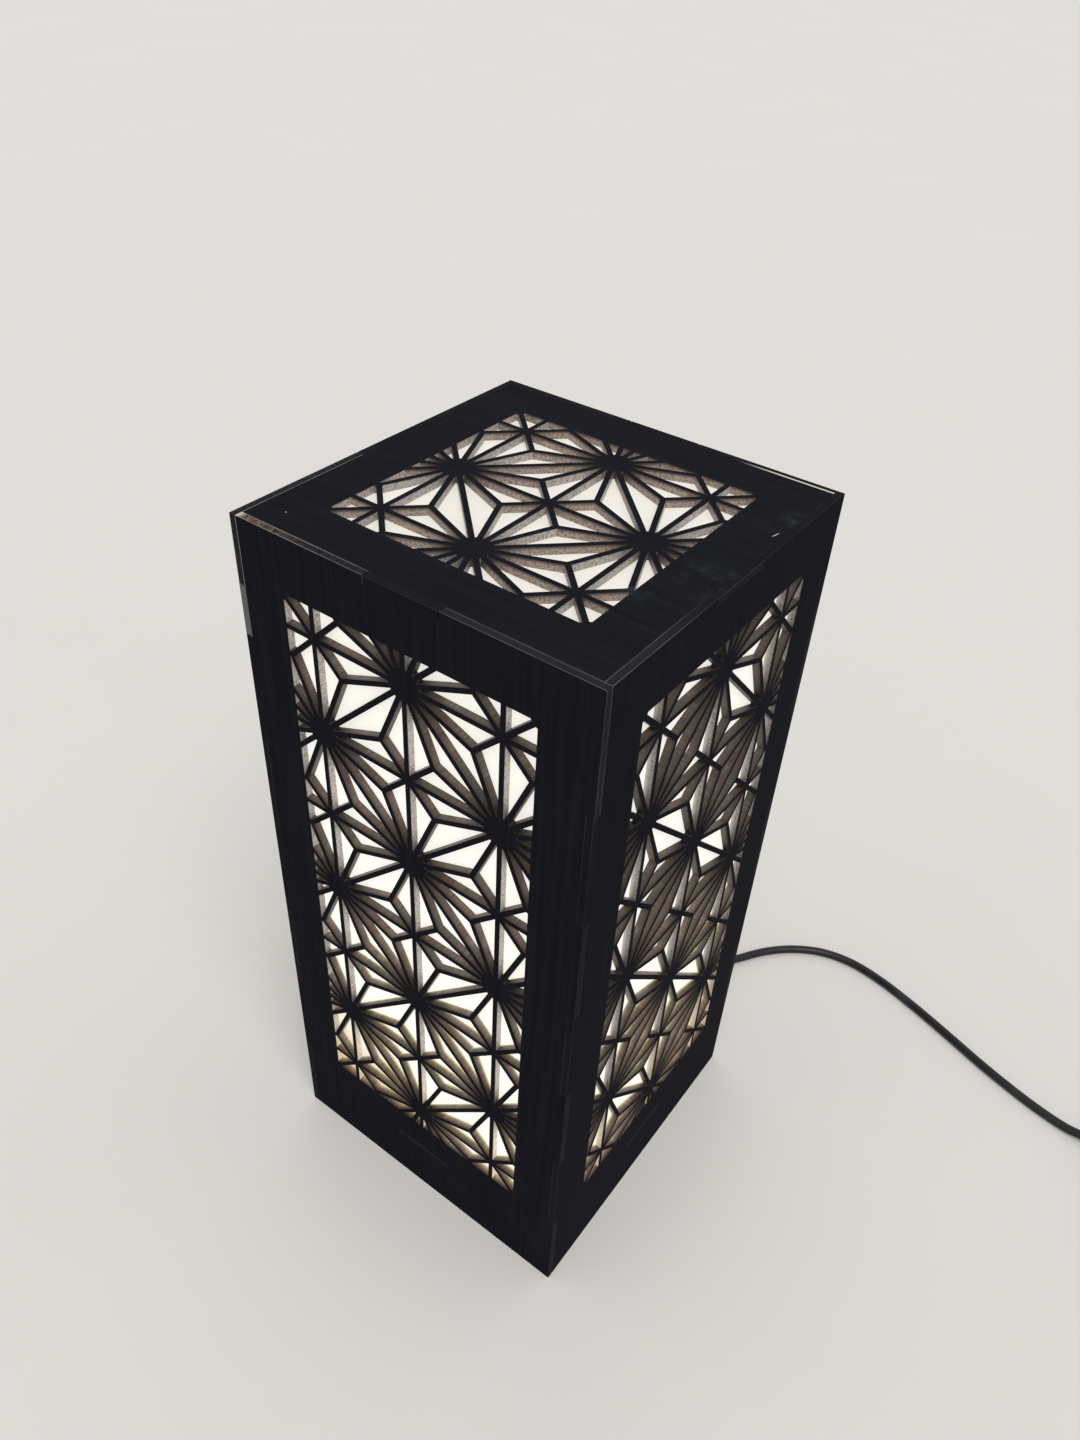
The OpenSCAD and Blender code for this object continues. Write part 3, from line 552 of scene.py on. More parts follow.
# %% The brown walls
WARMED = (0.56, 0.40, 0.29)
WARMED_SHARE = 0.8
WARMED_HEIGHTS = (0.050, 0.095)
LIT_HEIGHTS = (0.10, 0.36)
HEIGHT_SHARES = {"X": (1.45, 0.62), "Y": (1.15, 0.66)}
DARK_FACE_FROM = {"X": 0.42, "Y": 0.42, "Z": 0.55}
DARK_FACE_SHARE = 0.88


def lattice_wall_finish(name, axis, low, high):
    tan, umber, olive = brown_tones(axis)
    finish = Finish(name, tan, 0.5, specular=0.3)
    ridges = finish.noise(stretched(axis, 2600, 60), detail=2)
    patches = finish.noise((1, 1, 1), scale=95, detail=4)
    bands = finish.noise((1, 1, 1), scale=48, detail=2)
    specks = finish.noise((1, 1, 1), scale=1100, detail=4, roughness=0.7)
    color = finish.mix(finish.step(patches, 0.3, 0.7), tan, umber)
    color = finish.mix(finish.math("MULTIPLY", finish.step(bands, 0.48, 0.60), 0.75), color, olive)
    marks = finish.step(specks if axis == "Z" else ridges, 0.42, 0.62)
    color = finish.mix(finish.math("MULTIPLY", marks, 0.7), color, SCORCH_AND_SHADE)
    share = thickness_share(finish, axis, low, high)
    if axis != "Z":
        # Painted light: lighter toward the foot, where more of the bulb's light falls, and darker high
        # up.
        height = finish.step(finish.axis("Z"), *LIT_HEIGHTS, *HEIGHT_SHARES[axis])
        color = finish.mix(1.0, color, height, "MULTIPLY")
    color = hub_shaded(finish, axis, color, 1.0)
    if axis != "Z":
        # Painted light: a warm tinge on the inner half at the foot, from the light on the lamp's floor.
        foot = finish.step(finish.axis("Z"), *WARMED_HEIGHTS, 1, 0)
        foot = finish.math("MULTIPLY", foot, WARMED_SHARE)
        inner = finish.step(share, 0.1, 0.8, 1, 0)
        color = finish.mix(finish.math("MULTIPLY", foot, inner), color, WARMED)
        rim_glow(finish, share)
    # The dark strip at the face is the laser's scorch, deepened by painted shade away from the lit
    # sheet.
    dark_face = finish.step(share, DARK_FACE_FROM[axis], 1.0)
    color = finish.mix(finish.math("MULTIPLY", dark_face, DARK_FACE_SHARE), color, SCORCH_AND_SHADE)
    finish.feed("Base Color", color)
    finish.bump(ridges, 0.00015, 0.6)
    return finish.material


# %% [markdown]
# A pale wall is a painted reflection of the lit sheets: a light grey, with coarse specks of the
# wall's own. On the boards at the sides it is brighter in its inner half, next to the sheet, which
# is painted light too. Near the foot it has a cream glow of its own, where in the real lamp the light
# from the bulb's foot falls straight on it.

# %% The pale walls
INNER_SHEEN = (0.62, 0.575, 0.545)
INNER_SHARE = 0.85
CREAM = (0.34, 0.275, 0.175)
CREAM_HEIGHTS = (0.08, 0.15)
PALE_HUB_SHADE = 0.6


# Painted reflection: the pale finish stands for the lit sheets seen in these walls.
def pale_wall_finish(name, axis, low, high):
    sheen_tone, speck = toned(SHEET_SHEEN, SHEEN_SHARE[axis]), toned(SHEEN_SPECK, SHEEN_SHARE[axis])
    finish = Finish(name, sheen_tone, 0.45, specular=0.3)
    specks = finish.noise((1, 1, 1), scale=1100, detail=4, roughness=0.7)
    ridges = finish.noise(stretched(axis, 1700, 60), detail=2)
    color = finish.mix(finish.step(specks, 0.48, 0.60), sheen_tone, speck)
    ridged = finish.math("MULTIPLY", finish.step(ridges, 0.5, 0.68), 0.45)
    color = finish.mix(ridged, color, SHEEN_SPECK)
    color = hub_shaded(finish, axis, color, PALE_HUB_SHADE)
    share = thickness_share(finish, axis, low, high)
    # Painted light: the inner half of a side board's pale wall, next to the lit sheet, is brighter.
    if axis == "X":
        inner = finish.step(share, 0.05, 0.65, INNER_SHARE, 0)
        color = finish.mix(inner, color, INNER_SHEEN)
    color = finish.mix(finish.math("MULTIPLY", finish.step(share, 0.86, 1.0), 0.9), color, SCORCH_AND_SHADE)
    finish.feed("Base Color", color)
    if axis != "Z":
        foot = finish.step(finish.axis("Z"), *CREAM_HEIGHTS, 1, 0)
        finish.feed("Emission Color", finish.mix(foot, BLACK, CREAM))
        finish.set("Emission Strength", 1.0)
    finish.bump(specks, 0.00012, 0.6)
    return finish.material


# %% [markdown]
# At the joints the end grain was rubbed dark, and the cut edge of the film is left as a thin
# line along both sides of each strip. Wear differs from corner to corner. It could be painted by
# hand, but a helper that tells how near a point is to a place needs no picture. The front left
# corner is where the lid is gripped: the lines are pale there, at the very tip the strips are
# rubbed back to bare brown board, and a little below it a splinter of film has torn away. Round the
# front right corner the strips are grey, on top and some way down. At the back right corner the
# joint stands open, and a short pale slit is painted in it: painted light from the lit sheet, which
# shows through the gap.

# %% Colours and places at the joints
CORE_DARK = (0.0078, 0.0080, 0.0104)
CORE_LIGHT = (0.031, 0.030, 0.029)
FRONT_CORE = (0.0190, 0.0200, 0.0215)
BARE_BOARD = (0.22, 0.150, 0.098)
EDGE_DIM = (0.030, 0.031, 0.036)
EDGE_PALE = (0.34, 0.33, 0.31)
EDGE_WHITE = (0.62, 0.58, 0.53)
FRONT_EDGE = (0.135, 0.140, 0.135)
LID_LINE = (0.07, 0.07, 0.075)
TORN_FILM = (0.120, 0.125, 0.120)
GRIPPED_CORNER = (-PANEL_MID, -PANEL_MID, TOP_Z)
FRONT_CORNER = (PANEL_MID, -PANEL_MID, TOP_Z)
FAR_CORNER = (PANEL_MID, PANEL_MID, TOP_Z)
TORN_AT = (-0.100, -0.100, 0.400)
GRIP_REACH = (0.075, 0.115)
BARE_REACH = (0.010, 0.045)
TIP_REACH = (0.002, 0.006)
LIGHT_SLIT_REACH = (0.030, 0.055)
TORN_REACH = (0.0135, 0.0145)
FRONT_REACH = {"X": (0.025, 0.085), "Y": (0.060, 0.130)}
UPRIGHT_HEIGHTS, UPRIGHT_SHARE = (0.355, 0.400), 0.55
TOP_SKIN = (TOP_Z - 0.0012, TOP_Z - 0.0004)


def nearness(finish, at, near, far):
    """1 within the near distance of a point, and 0 beyond the far one."""
    away = finish.node("ShaderNodeVectorMath", {"operation": "DISTANCE"})
    finish.tree.links.new(finish.place(), away.inputs[0])
    away.inputs[1].default_value = at
    return finish.step(away.outputs["Value"], near, far, 1, 0)


def front_wear(finish, axis):
    """How grey a strip is near the front right corner: fully on top, and less on the uprights."""
    z = finish.axis("Z")
    upright = finish.step(z, *UPRIGHT_HEIGHTS, 0, UPRIGHT_SHARE)
    worn = finish.math("MAXIMUM", finish.step(z, *TOP_SKIN), upright)
    return finish.math("MULTIPLY", nearness(finish, FRONT_CORNER, *FRONT_REACH[axis]), worn)


# %% [markdown]
# The finish itself starts from the dark core, adds the wear in its places, and lays the film's
# line over it. On the lid only the line at its upper face shows.

# %% The end grain
def end_grain_finish(name, axis, low, high):
    finish = Finish(name, CORE_DARK, 0.6, specular=0.02)
    fibres = finish.step(finish.noise(stretched(axis, 900, 300), detail=4), 0.3, 0.7)
    share = thickness_share(finish, axis, low, high)
    color, edge = CORE_DARK, LID_LINE
    if axis != "Z":
        gripped = nearness(finish, GRIPPED_CORNER, *GRIP_REACH)
        fronted = front_wear(finish, axis)
        color = finish.mix(finish.math("MULTIPLY", fibres, gripped), CORE_DARK, CORE_LIGHT)
        color = finish.mix(fronted, color, FRONT_CORE)
        edge = finish.mix(fronted, finish.mix(gripped, EDGE_DIM, EDGE_PALE), FRONT_EDGE)
    if axis == "Y":
        bare = finish.math("MULTIPLY", nearness(finish, GRIPPED_CORNER, *BARE_REACH), fibres)
        color = finish.mix(bare, color, BARE_BOARD)
    aside = finish.math("ABSOLUTE", finish.math("SUBTRACT", share, 0.5))
    worn = finish.step(finish.noise((1, 1, 1), scale=45, detail=4), 0.32, 0.6, 0.4, 1.0)
    line = finish.math("MULTIPLY", finish.step(aside, 0.40, 0.47), worn)
    if axis == "Z":
        line = finish.math("MULTIPLY", line, finish.step(share, 0.8, 0.9))
    color = finish.mix(line, color, edge)
    if axis == "Y":
        color = finish.mix(nearness(finish, GRIPPED_CORNER, *TIP_REACH), color, EDGE_WHITE)
        # Painted light: the lit sheet seen through the open joint at the back right corner, as a pale
        # slit.
        inner = finish.step(share, 0.28, 0.36, 1, 0)
        light_slit = finish.math("MULTIPLY", nearness(finish, FAR_CORNER, *LIGHT_SLIT_REACH), inner)
        color = finish.mix(light_slit, color, EDGE_WHITE)
    color = finish.mix(nearness(finish, TORN_AT, *TORN_REACH), color, TORN_FILM)
    finish.feed("Base Color", color)
    finish.bump(fibres, 0.0002, 0.5)
    return finish.material


# %% [markdown]
# Which finish a face takes follows from the way that it faces and from where it lies: the two
# large faces carry film, the faces on the outline of the body show end grain, and the rest are
# the walls of the lattice. They could be picked by hand, but there are thousands of them.

# %% Give every face of every board its finish
def flat_share(polygon, letter):
    return abs(polygon.normal[AXES.index(letter)])


FILM, BROWN_WALL, END, PALE_WALL = range(4)
LID_OUTLINE = 0.0945
SIDE_OUTLINE = 0.075
OUTLINE_HEIGHTS = (0.0455, 0.4255)


def wall_kind(polygon, thick):
    """Walls beside upright bars show a painted reflection of the lit sheets: on the lid, those facing X.
    """
    if thick == "Z":
        return PALE_WALL if flat_share(polygon, "X") > 0.8 else BROWN_WALL
    across = "X" if thick == "Y" else "Y"
    return PALE_WALL if flat_share(polygon, across) > 0.95 else BROWN_WALL


def on_outline(polygon, thick):
    """True on a face at a joint or at the board's outline, and False inside the lattice."""
    x, y, z = polygon.center
    if thick == "Z":
        return max(abs(x), abs(y)) > LID_OUTLINE
    across = x if thick == "Y" else y
    foot, head = OUTLINE_HEIGHTS
    return abs(across) > SIDE_OUTLINE or z > head or z < foot


def dress_board(node, thick, finishes):
    mesh = nodes[node].data
    mesh.materials.clear()
    for material in finishes:
        mesh.materials.append(material)
    for polygon in mesh.polygons:
        if flat_share(polygon, thick) > 0.9:
            polygon.material_index = FILM
        elif on_outline(polygon, thick):
            polygon.material_index = END
        else:
            polygon.material_index = wall_kind(polygon, thick)


# %% [markdown]
# Every board along one axis can share its finishes, because they are painted from distances to the
# body's middle. One board of each kind is measured for where its two faces lie.

# %% Make the boards' finishes and lay them on
films = {grain: film_finish(grain) for grain in "XZ"}
SAMPLE_BOARDS = {"X": "side_panel_right", "Y": "side_panel_back", "Z": "top_panel"}
board_finishes = {}
for thick, sample in (*SAMPLE_BOARDS.items(), ("base", "base_plate")):
    axis = "Z" if thick == "base" else thick
    low, high = (corner[AXES.index(axis)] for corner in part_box(sample))
    name = thick.lower()
    board_finishes[thick] = (
        films["X" if axis == "Z" else "Z"],
        lattice_wall_finish("lattice_wall_" + name, axis, low, high),
        end_grain_finish("end_grain_" + name, axis, low, high),
        pale_wall_finish("pale_wall_" + name, axis, low, high),
    )
for node, thick in BOARDS.items():
    dress_board(node, thick, board_finishes["base" if node == "base_plate" else thick])
print("boards dressed:", len(BOARDS))

# %% [markdown]
# ## The light
# White sheets stand behind the lattice. The bulb lights them most where they are near it, above
# its opaque foot. Low down, where that foot throws its shadow, the sheets are a warm beige.
# A real light behind thin sheets takes very many rays before it looks smooth. So the glow is worked
# out from each point's place in the lamp: a level that rises with height and falls
# with the distance, in plan, from the brightest place, so it joins up from sheet to sheet. The side
# of a sheet that faces the bulb shows only when the lid is off. It is lit twice in the render, by
# its own glow and by the other sheets, so it gets a dimmer finish that keeps it from clipping.

# %% The glowing sheets
SHEET = (0.50, 0.47, 0.43)
GLOW = (0.77, 0.765, 0.715)
GLOW_LOW = (0.50, 0.36, 0.17)
BRIGHT = (0.775, 0.775, 0.735)
SHEET_BACK = (0.30, 0.285, 0.26)
BACK_SHARE = 0.45
SHADE_SLOPE = 0.72
LIT_LEVELS = (-0.026, 0.056)
HOT_LEVELS, HOT_HEIGHTS, HOT_REACH = (0.03, 0.06), (0.15, 0.26), (0.05, 0.13)
FADE_HEIGHTS, FADE_SHARE = (0.20, 0.435), 0.9
TOP_HEIGHTS, TOP_SHARE = (0.438, 0.442), 0.66


def sheet_glow(finish):
    """The colour of the light that comes through a sheet, and how strong it is."""
    z = finish.axis("Z")
    aside = away_from_glow(finish)
    level = finish.math("SUBTRACT", z, finish.math("MULTIPLY", aside, SHADE_SLOPE))
    cloud = finish.noise((1, 1, 1), scale=26, detail=4)
    level = finish.math("ADD", level, finish.step(cloud, 0.3, 0.7, -0.004, 0.004))
    lit = finish.step(level, *LIT_LEVELS)
    hot = finish.math("MULTIPLY", finish.step(level, *HOT_LEVELS), finish.step(z, *HOT_HEIGHTS, 1, 0))
    hot = finish.math("MULTIPLY", hot, finish.step(aside, *HOT_REACH, 1, 0.25))
    glow = finish.mix(lit, GLOW_LOW, finish.mix(hot, GLOW, BRIGHT))
    fade = finish.step(z, *FADE_HEIGHTS, 1, FADE_SHARE)
    fade = finish.math("MULTIPLY", fade, finish.step(z, *TOP_HEIGHTS, 1, TOP_SHARE))
    fibre = finish.noise((1, 1, 1), scale=420, detail=4, roughness=0.7)
    shade = finish.math("MULTIPLY", fade, finish.step(fibre, 0.3, 0.7, 0.95, 1.0))
    return glow, finish.math("MULTIPLY", shade, finish.step(cloud, 0.3, 0.7, 0.95, 1.0))


def sheet_finish(name, color, strength):
    finish = Finish(name, color, 0.6, specular=0.2)
    glow, shade = sheet_glow(finish)
    scaled = finish.node("ShaderNodeVectorMath", {"operation": "SCALE"})
    finish.tree.links.new(glow, scaled.inputs[0])
    finish.tree.links.new(shade, scaled.inputs["Scale"])
    finish.feed("Emission Color", scaled.outputs[0])
    finish.set("Emission Strength", strength)
    finish.bump(finish.noise((1, 1, 1), scale=700, detail=2), 0.00005, 0.3)
    return finish.material


# %% [markdown]
# Which side of a sheet faces the bulb is told by the way from the face to the middle of the lamp.
# The narrow edges are judged the same way, and hardly show.

# %% Lay the two finishes on each sheet
def dress_sheet(name, front, back):
    """One finish on the side that shows through the lattice, the other on the side to the bulb."""
    mesh = nodes[name].data
    mesh.materials.clear()
    mesh.materials.append(front)
    mesh.materials.append(back)
    middle = Vector((0, 0, TOP_Z / 2))
    for polygon in mesh.polygons:
        inward = middle - polygon.center
        inward.z = 0 if abs(polygon.normal.z) < 0.5 else inward.z
        polygon.material_index = 1 if polygon.normal.dot(inward) > 0 else 0


sheets = [name for name in nodes if name.startswith("diffuser_")]
front = sheet_finish("lit_sheet", SHEET, 1.0)
back = sheet_finish("lit_sheet_back", SHEET_BACK, BACK_SHARE)
for name in sheets:
    dress_sheet(name, front, back)
print("sheets:", sheets)

# %% [markdown]
# ## Plastics, metals and rubber
# The moulded and metal pieces need only two recipes. A moulded plastic has an even colour with
# slight clouding and a fine spark-eroded texture. A drawn or rolled metal has fine lines in the
# direction of the work. Both take a colour and a roughness, so each piece keeps its own material.

# %% Two recipes
def moulded(name, color, roughness, grain=700, specular=0.5, shade=0.85):
    """An even colour with slight clouding, and a fine eroded texture."""
    finish = Finish(name, color, roughness, specular=specular)
    cloud = finish.step(finish.noise((1, 1, 1), scale=70, detail=4), 0.3, 0.75)
    finish.feed("Base Color", finish.mix(cloud, color, toned(color, shade)))
    finish.feed("Roughness", finish.step(cloud, 0, 1, roughness, roughness + 0.1))
    finish.bump(finish.noise((1, 1, 1), scale=grain, detail=2), 0.00006, 0.4)
    return finish.material


def metal(name, color, roughness, along="Z"):
    """A metal with fine lines across the axis named, as turning and rolling leave them."""
    finish = Finish(name, color, roughness, metallic=1.0)
    lines = finish.noise(stretched(along, 250, 3000), detail=3)
    finish.feed("Base Color", finish.mix(lines, color, toned(color, 0.72)))
    finish.feed("Roughness", finish.step(lines, 0.3, 0.7, roughness, roughness + 0.15))
    finish.bump(lines, 0.00003, 0.3)
    return finish.material


def dress(names, material):
    """Puts one finish on every named solid."""
    for name in names:
        mesh = nodes[name].data
        mesh.materials.clear()
        mesh.materials.append(material)


# %% [markdown]
# ## The bulb and its holder
# They show only when the top is lifted off, but they are finished like the rest: an opal globe that
# glows most away from its neck, a white moulded housing, a bright rolled cap, and a holder in
# slightly yellowed white plastic. The glow stays weak enough to show the globe's roundness.

# %% The lit parts of the bulb
GLOBE = (0.45, 0.44, 0.42)
GLOBE_NECK, GLOBE_TOP = (0.27, 0.235, 0.18), (0.56, 0.535, 0.475)
NECK_HEIGHT, NECK_SHARE = 0.02, 0.55
CHIP_AMBER, CHIP_PALE, CHIP_STRENGTH = (1.0, 0.85, 0.5), (1.0, 0.95, 0.8), 2.0


def lit_globe():
    finish = Finish("lit_globe", GLOBE, 0.4)
    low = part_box("bulb_globe")[0].z
    glow = finish.step(finish.axis("Z"), low, low + NECK_HEIGHT, NECK_SHARE, 1.0)
    finish.feed("Emission Color", finish.mix(glow, GLOBE_NECK, GLOBE_TOP))
    finish.set("Emission Strength", 1.0)
    finish.bump(finish.noise((1, 1, 1), scale=900, detail=2), 0.00003, 0.3)
    return finish.material


def lit_chips():
    finish = Finish("led_chip", (0.8, 0.6, 0.12), 0.3)
    finish.feed("Emission Color", finish.mix(finish.noise((1, 1, 1), scale=2000), CHIP_AMBER, CHIP_PALE))
    finish.set("Emission Strength", CHIP_STRENGTH)
    return finish.material


# %% [markdown]
# The other parts of the bulb and its holder take the two recipes. All the screws share one finish,
# and so do the brass contacts.

# %% Dress the bulb and its holder
SCREWS = ["terminal_screws", "holder_screws", "holder_nuts", "switch_screws"]
BRASS = ["holder_thread", "holder_contact", "switch_contacts"]
dress(["holder_base", "holder_shell"], moulded("holder_plastic", (0.70, 0.67, 0.60), 0.38))
dress(BRASS, metal("contact_brass", (0.62, 0.43, 0.17), 0.28))
dress(SCREWS, metal("zinc_steel", (0.56, 0.57, 0.58), 0.3))
dress(["bulb_cap", "bulb_contact"], metal("cap_aluminium", (0.72, 0.73, 0.74), 0.24))
dress(["bulb_insulator"], moulded("cap_glass", (0.015, 0.015, 0.02), 0.12))
dress(["bulb_housing"], moulded("bulb_housing_white", (0.80, 0.80, 0.78), 0.3))
dress(["led_board"], moulded("led_board_white", (0.78, 0.78, 0.76), 0.35))
dress(["led_chips"], lit_chips())
dress(["bulb_globe"], lit_globe())

# %% [markdown]
# ## The switch, the plug and the fittings of the cord
# All are black mouldings that differ in how soft and how coarse they are. The rocker is polished,
# and carries the two usual printed signs: a bar at the end that switches on, and a ring at the
# other. Both are drawn with distances from the middle of the switch.

# %% The rocker and its printed signs
ROCKER_BLACK = (0.014, 0.014, 0.017)
MARK_WHITE = (0.55, 0.55, 0.54)
MARK_AWAY = 0.0058
RING_R = 0.0013
BAR_HALF = (0.0015, 0.0016)
INK_HALF = (0.00022, 0.0003)


def rocker_finish():
    """A polished rocker with a printed bar for on at one end and a ring for off at the other."""
    finish = Finish("rocker_black", ROCKER_BLACK, 0.2, specular=0.4)
    x = finish.math("SUBTRACT", finish.axis("X"), SWITCH_AT[0] * MM)
    y = finish.math("SUBTRACT", finish.axis("Y"), SWITCH_AT[1] * MM)
    bar_x = finish.step(finish.math("ABSOLUTE", finish.math("ADD", x, MARK_AWAY)), *INK_HALF, 1, 0)
    bar_y = finish.step(finish.math("ABSOLUTE", y), *BAR_HALF, 1, 0)
    bar = finish.math("MULTIPLY", bar_x, bar_y)
    ring_x = finish.math("SUBTRACT", x, MARK_AWAY)
    squares = [finish.math("MULTIPLY", side, side) for side in (ring_x, y)]
    reach = finish.math("SQRT", finish.math("ADD", *squares))
    ring = finish.step(finish.math("ABSOLUTE", finish.math("SUBTRACT", reach, RING_R)), *INK_HALF, 1, 0)
    ink = finish.math("MAXIMUM", bar, ring)
    finish.feed("Base Color", finish.mix(ink, ROCKER_BLACK, MARK_WHITE))
    cloud = finish.noise((1, 1, 1), scale=500, detail=3)
    finish.feed("Roughness", finish.step(cloud, 0.3, 0.7, 0.16, 0.26))
    finish.bump(cloud, 0.00003, 0.3)
    return finish.material


# %% [markdown]
# The other mouldings share one recipe and differ in a few numbers. The pins of the plug are
# nickel-plated, with fine lines across their length.

# %% Dress the cord's fittings
MOULDED_BLACK = (0.009, 0.009, 0.011)


def black_moulding(name, roughness, grain, specular=0.3, color=MOULDED_BLACK):
    return moulded(name, color, roughness, grain=grain, specular=specular)


dress(["inner_flex"], black_flex)
dress(["cord_gland", "gland_nut"], black_moulding("gland_nylon", 0.42, 700, color=(0.010, 0.010, 0.012)))
dress(["strain_relief", "plug_boot"], black_moulding("soft_black", 0.55, 1100, specular=0.25))
dress(["switch_base", "switch_cover"], black_moulding("switch_black", 0.36, 1300))
dress(["switch_rocker"], rocker_finish())
dress(["plug_body", "plug_sleeves"], black_moulding("plug_black", 0.4, 1200))
dress(["plug_pins"], metal("nickel_pin", (0.66, 0.62, 0.55), 0.2, along="Y"))
dress(["cord_tie"], black_moulding("tie_black", 0.6, 1500, color=(0.014, 0.014, 0.017)))

# %% [markdown]
# Inside the lamp the sheath ends and the two cores part, brown to one terminal and blue to the
# other. They are one node of two solids, so the colour changes with the side of the middle.

# %% The two cores of the flex
CORE_BROWN, CORE_BLUE = (0.13, 0.055, 0.022), (0.03, 0.10, 0.32)
CORE_SPLIT = 0.0002


def core_finish():
    """Brown and blue cores: the two lie on opposite sides of the middle of the lamp."""
    finish = Finish("core_insulation", (0.1, 0.05, 0.03), 0.4)
    side = finish.step(finish.axis("Y"), -CORE_SPLIT, CORE_SPLIT)
    finish.feed("Base Color", finish.mix(side, CORE_BROWN, CORE_BLUE))
    finish.bump(finish.noise((1, 1, 1), scale=1500), 0.00004, 0.3)
    return finish.material


dress(["core_wires"], core_finish())
bare = [name for name, node in nodes.items() if not node.data.materials]
print("solids with no finish:", bare)

# %% [markdown]
# ## Rounded edges
# Nothing moulded has a perfectly sharp edge. A bevel modifier rounds the arrises without changing
# the solids themselves, and its width can be changed at any time. The imported meshes are split
# along their edges, so a weld comes first.

# %% Edges that are rounded
EDGES = {
    "holder_base": 0.0008, "holder_shell": 0.0007, "cord_gland": 0.0006, "gland_nut": 0.0004,
    "switch_base": 0.0008, "switch_cover": 0.0009, "switch_rocker": 0.0005, "plug_body": 0.0012,
    "plug_boot": 0.0004, "cord_tie": 0.0003, "holder_screws": 0.0003, "strain_relief": 0.0004,
}
OPEN_EDGES = ["switch_base", "switch_cover", "switch_rocker", "plug_body", "cord_tie"]
BEVEL_FROM = math.radians(35)
WELD_GAP = 0.00001
print("pieces with rounded edges:", len(EDGES))

# %% [markdown]
# A solid's round sides come as many flat faces. Smooth shading hides them, but it must stop at true
# creases. The faces could be marked one by one. A small node group does it for every piece from one
# angle, and works on what the weld and the bevel leave.

# %% A node group that shades round sides smoothly
CREASE = math.radians(33)


def soft_shading():
    """A node group that shades a mesh smoothly and keeps the creases sharper than CREASE."""
    group = bpy.data.node_groups.new("soft_shading", "GeometryNodeTree")
    for way in ("INPUT", "OUTPUT"):
        group.interface.new_socket("Geometry", in_out=way, socket_type="NodeSocketGeometry")
    enter, leave = group.nodes.new("NodeGroupInput"), group.nodes.new("NodeGroupOutput")
    faces, edges = (group.nodes.new("GeometryNodeSetShadeSmooth") for _ in range(2))
    faces.domain, edges.domain = "FACE", "EDGE"
    angle = group.nodes.new("GeometryNodeInputMeshEdgeAngle")
    blunt = group.nodes.new("FunctionNodeCompare")
    blunt.data_type, blunt.operation = "FLOAT", "LESS_EQUAL"
    blunt.inputs[1].default_value = CREASE
    group.links.new(enter.outputs[0], faces.inputs["Geometry"])
    group.links.new(faces.outputs["Geometry"], edges.inputs["Geometry"])
    group.links.new(angle.outputs["Unsigned Angle"], blunt.inputs[0])
    group.links.new(blunt.outputs["Result"], edges.inputs["Shade Smooth"])
    group.links.new(edges.outputs["Geometry"], leave.inputs[0])
    return group


# %% [markdown]
# The modifiers work from top to bottom: weld, bevel, shading. The boards and the sheets were cut,
# not moulded, so they keep their sharp edges and get no modifier. A switch cover or a plug has many
# edges close together, where Blender would make the whole bevel narrower, so that limit is off.

# %% Round and shade the moulded and turned pieces
def round_edges(name, width, segments=3):
    bevel = nodes[name].modifiers.new("bevel", "BEVEL")
    bevel.width = width
    bevel.segments = segments
    bevel.limit_method = "ANGLE"
    bevel.angle_limit = BEVEL_FROM
    bevel.use_clamp_overlap = name not in OPEN_EDGES


shading = soft_shading()
for name in nodes:
    if name in BOARDS or name in sheets or not nodes[name].data.polygons:
        continue
    weld = nodes[name].modifiers.new("weld", "WELD")
    weld.merge_threshold = WELD_GAP
    if name in EDGES:
        round_edges(name, EDGES[name])
    nodes[name].modifiers.new("shading", "NODES").node_group = shading
print("rounded:", len(EDGES), "shaded smoothly:", len(nodes) - len(BOARDS) - len(sheets))

# %% [markdown]
# ## Floor and light
# The floor is plain and pale, and so is everything round it. It is much wider than the lamp, so that
# its edge is far off from every side. It is marked as stage, because it isn't part of the lamp.

# %% The floor
FLOOR_HALF = 40.0
FLOOR_PALE, FLOOR_SHADE = (0.77, 0.76, 0.74), (0.74, 0.73, 0.71)


def add_floor():
    mesh = bpy.data.meshes.new("floor")
    corners = [(x * FLOOR_HALF, y * FLOOR_HALF, 0) for x, y in ((-1, -1), (1, -1), (1, 1), (-1, 1))]
    mesh.from_pydata(corners, [], [(0, 1, 2, 3)])
    floor = bpy.data.objects.new("floor", mesh)
    bpy.context.scene.collection.objects.link(floor)
    finish = Finish("pale_floor", (0.76, 0.75, 0.73), 0.85, specular=0.1)
    cloud = finish.noise((1, 1, 1), scale=3, detail=5)
    finish.feed("Base Color", finish.mix(cloud, FLOOR_PALE, FLOOR_SHADE))
    mesh.materials.append(finish.material)
    floor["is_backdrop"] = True
    return floor


floor = add_floor()
print("floor:", [round(x, 1) for x in floor.dimensions])

# %% [markdown]
# An even world fills every shadow. It is white to the camera and in reflections, and gives less
# light than that to the lamp, so that the background stays pale and the dark boards stay dark.

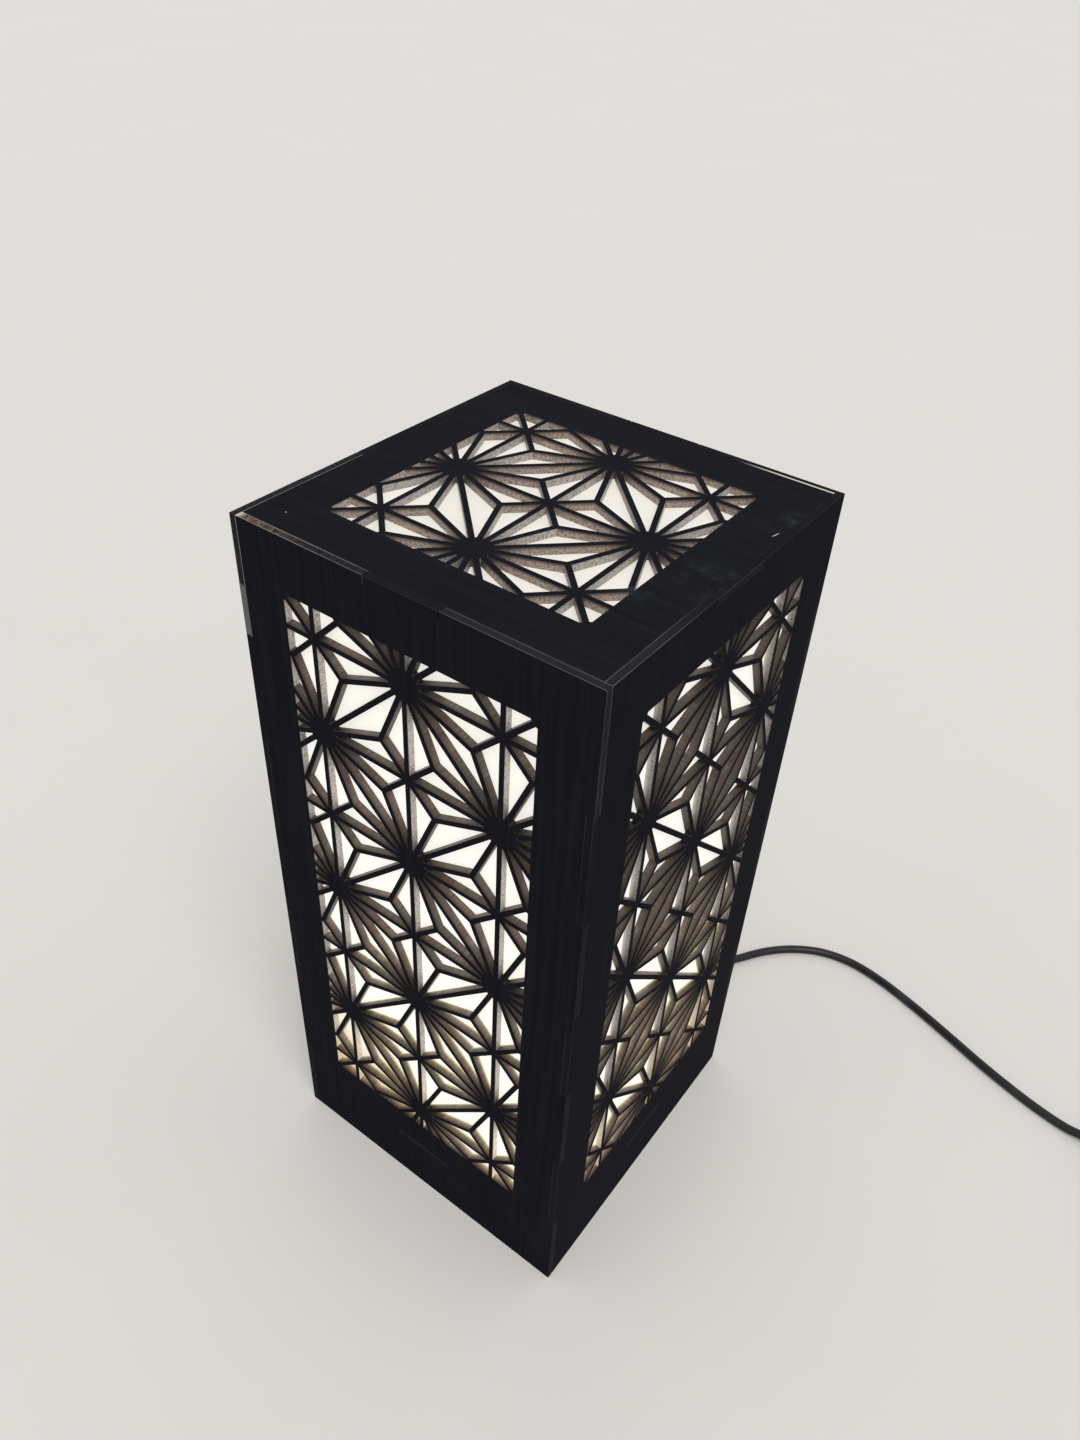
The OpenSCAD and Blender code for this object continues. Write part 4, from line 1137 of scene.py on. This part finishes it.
# %% The world
WORLD_WHITE = (1, 0.99, 0.975, 1)
WORLD_LIGHT, WORLD_SEEN = 0.62, 0.95


def add_world():
    world = bpy.data.worlds.new("studio")
    world.use_nodes = True
    bpy.context.scene.world = world
    tree = world.node_tree
    background = tree.nodes["Background"]
    background.inputs["Color"].default_value = WORLD_WHITE
    rays = tree.nodes.new("ShaderNodeLightPath")
    seen = rays.outputs["Is Camera Ray"]
    for ray in ("Is Glossy Ray", "Is Transmission Ray"):
        either = tree.nodes.new("ShaderNodeMath")
        either.operation = "MAXIMUM"
        tree.links.new(seen, either.inputs[0])
        tree.links.new(rays.outputs[ray], either.inputs[1])
        seen = either.outputs[0]
    strength = tree.nodes.new("ShaderNodeMapRange")
    tree.links.new(seen, strength.inputs["Value"])
    strength.inputs["To Min"].default_value = WORLD_LIGHT
    strength.inputs["To Max"].default_value = WORLD_SEEN
    tree.links.new(strength.outputs["Result"], background.inputs["Strength"])


add_world()
print("world: lights with", WORLD_LIGHT, "and is seen as", WORLD_SEEN)

# %% [markdown]
# One broad soft light from above the right side gives the lamp its shadow. A studio often has three,
# but a lamp that glows by itself looks clearer with one. The Standard view shows the colours as
# they are worked out.

# %% The light
SUN_LIGHT, SUN_WHITE = 1.35, (1.0, 0.985, 0.96)
SUN_SOFTNESS = math.radians(35)
SUN_TOWARD = Vector((-0.45, 0.40, -1.0))


def add_sun():
    data = bpy.data.lights.new("soft_light", "SUN")
    data.energy = SUN_LIGHT
    data.angle = SUN_SOFTNESS
    data.color = SUN_WHITE
    sun = bpy.data.objects.new("soft_light", data)
    bpy.context.scene.collection.objects.link(sun)
    sun.rotation_mode = "QUATERNION"
    sun.rotation_quaternion = SUN_TOWARD.to_track_quat("-Z", "Y")
    return sun


sun = add_sun()
print("light:", sun.data.energy, "from", [round(-x, 2) for x in SUN_TOWARD])
bpy.context.scene.view_settings.view_transform = "Standard"

# %% [markdown]
# ## The dressed size
# The box that the dressed lamp fills is measured over every shown object but the floor, and
# printed.

# %% Measure the dressed size
low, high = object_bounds()
print("dressed box:", [round(b - a, 4) for a, b in zip(low, high)])
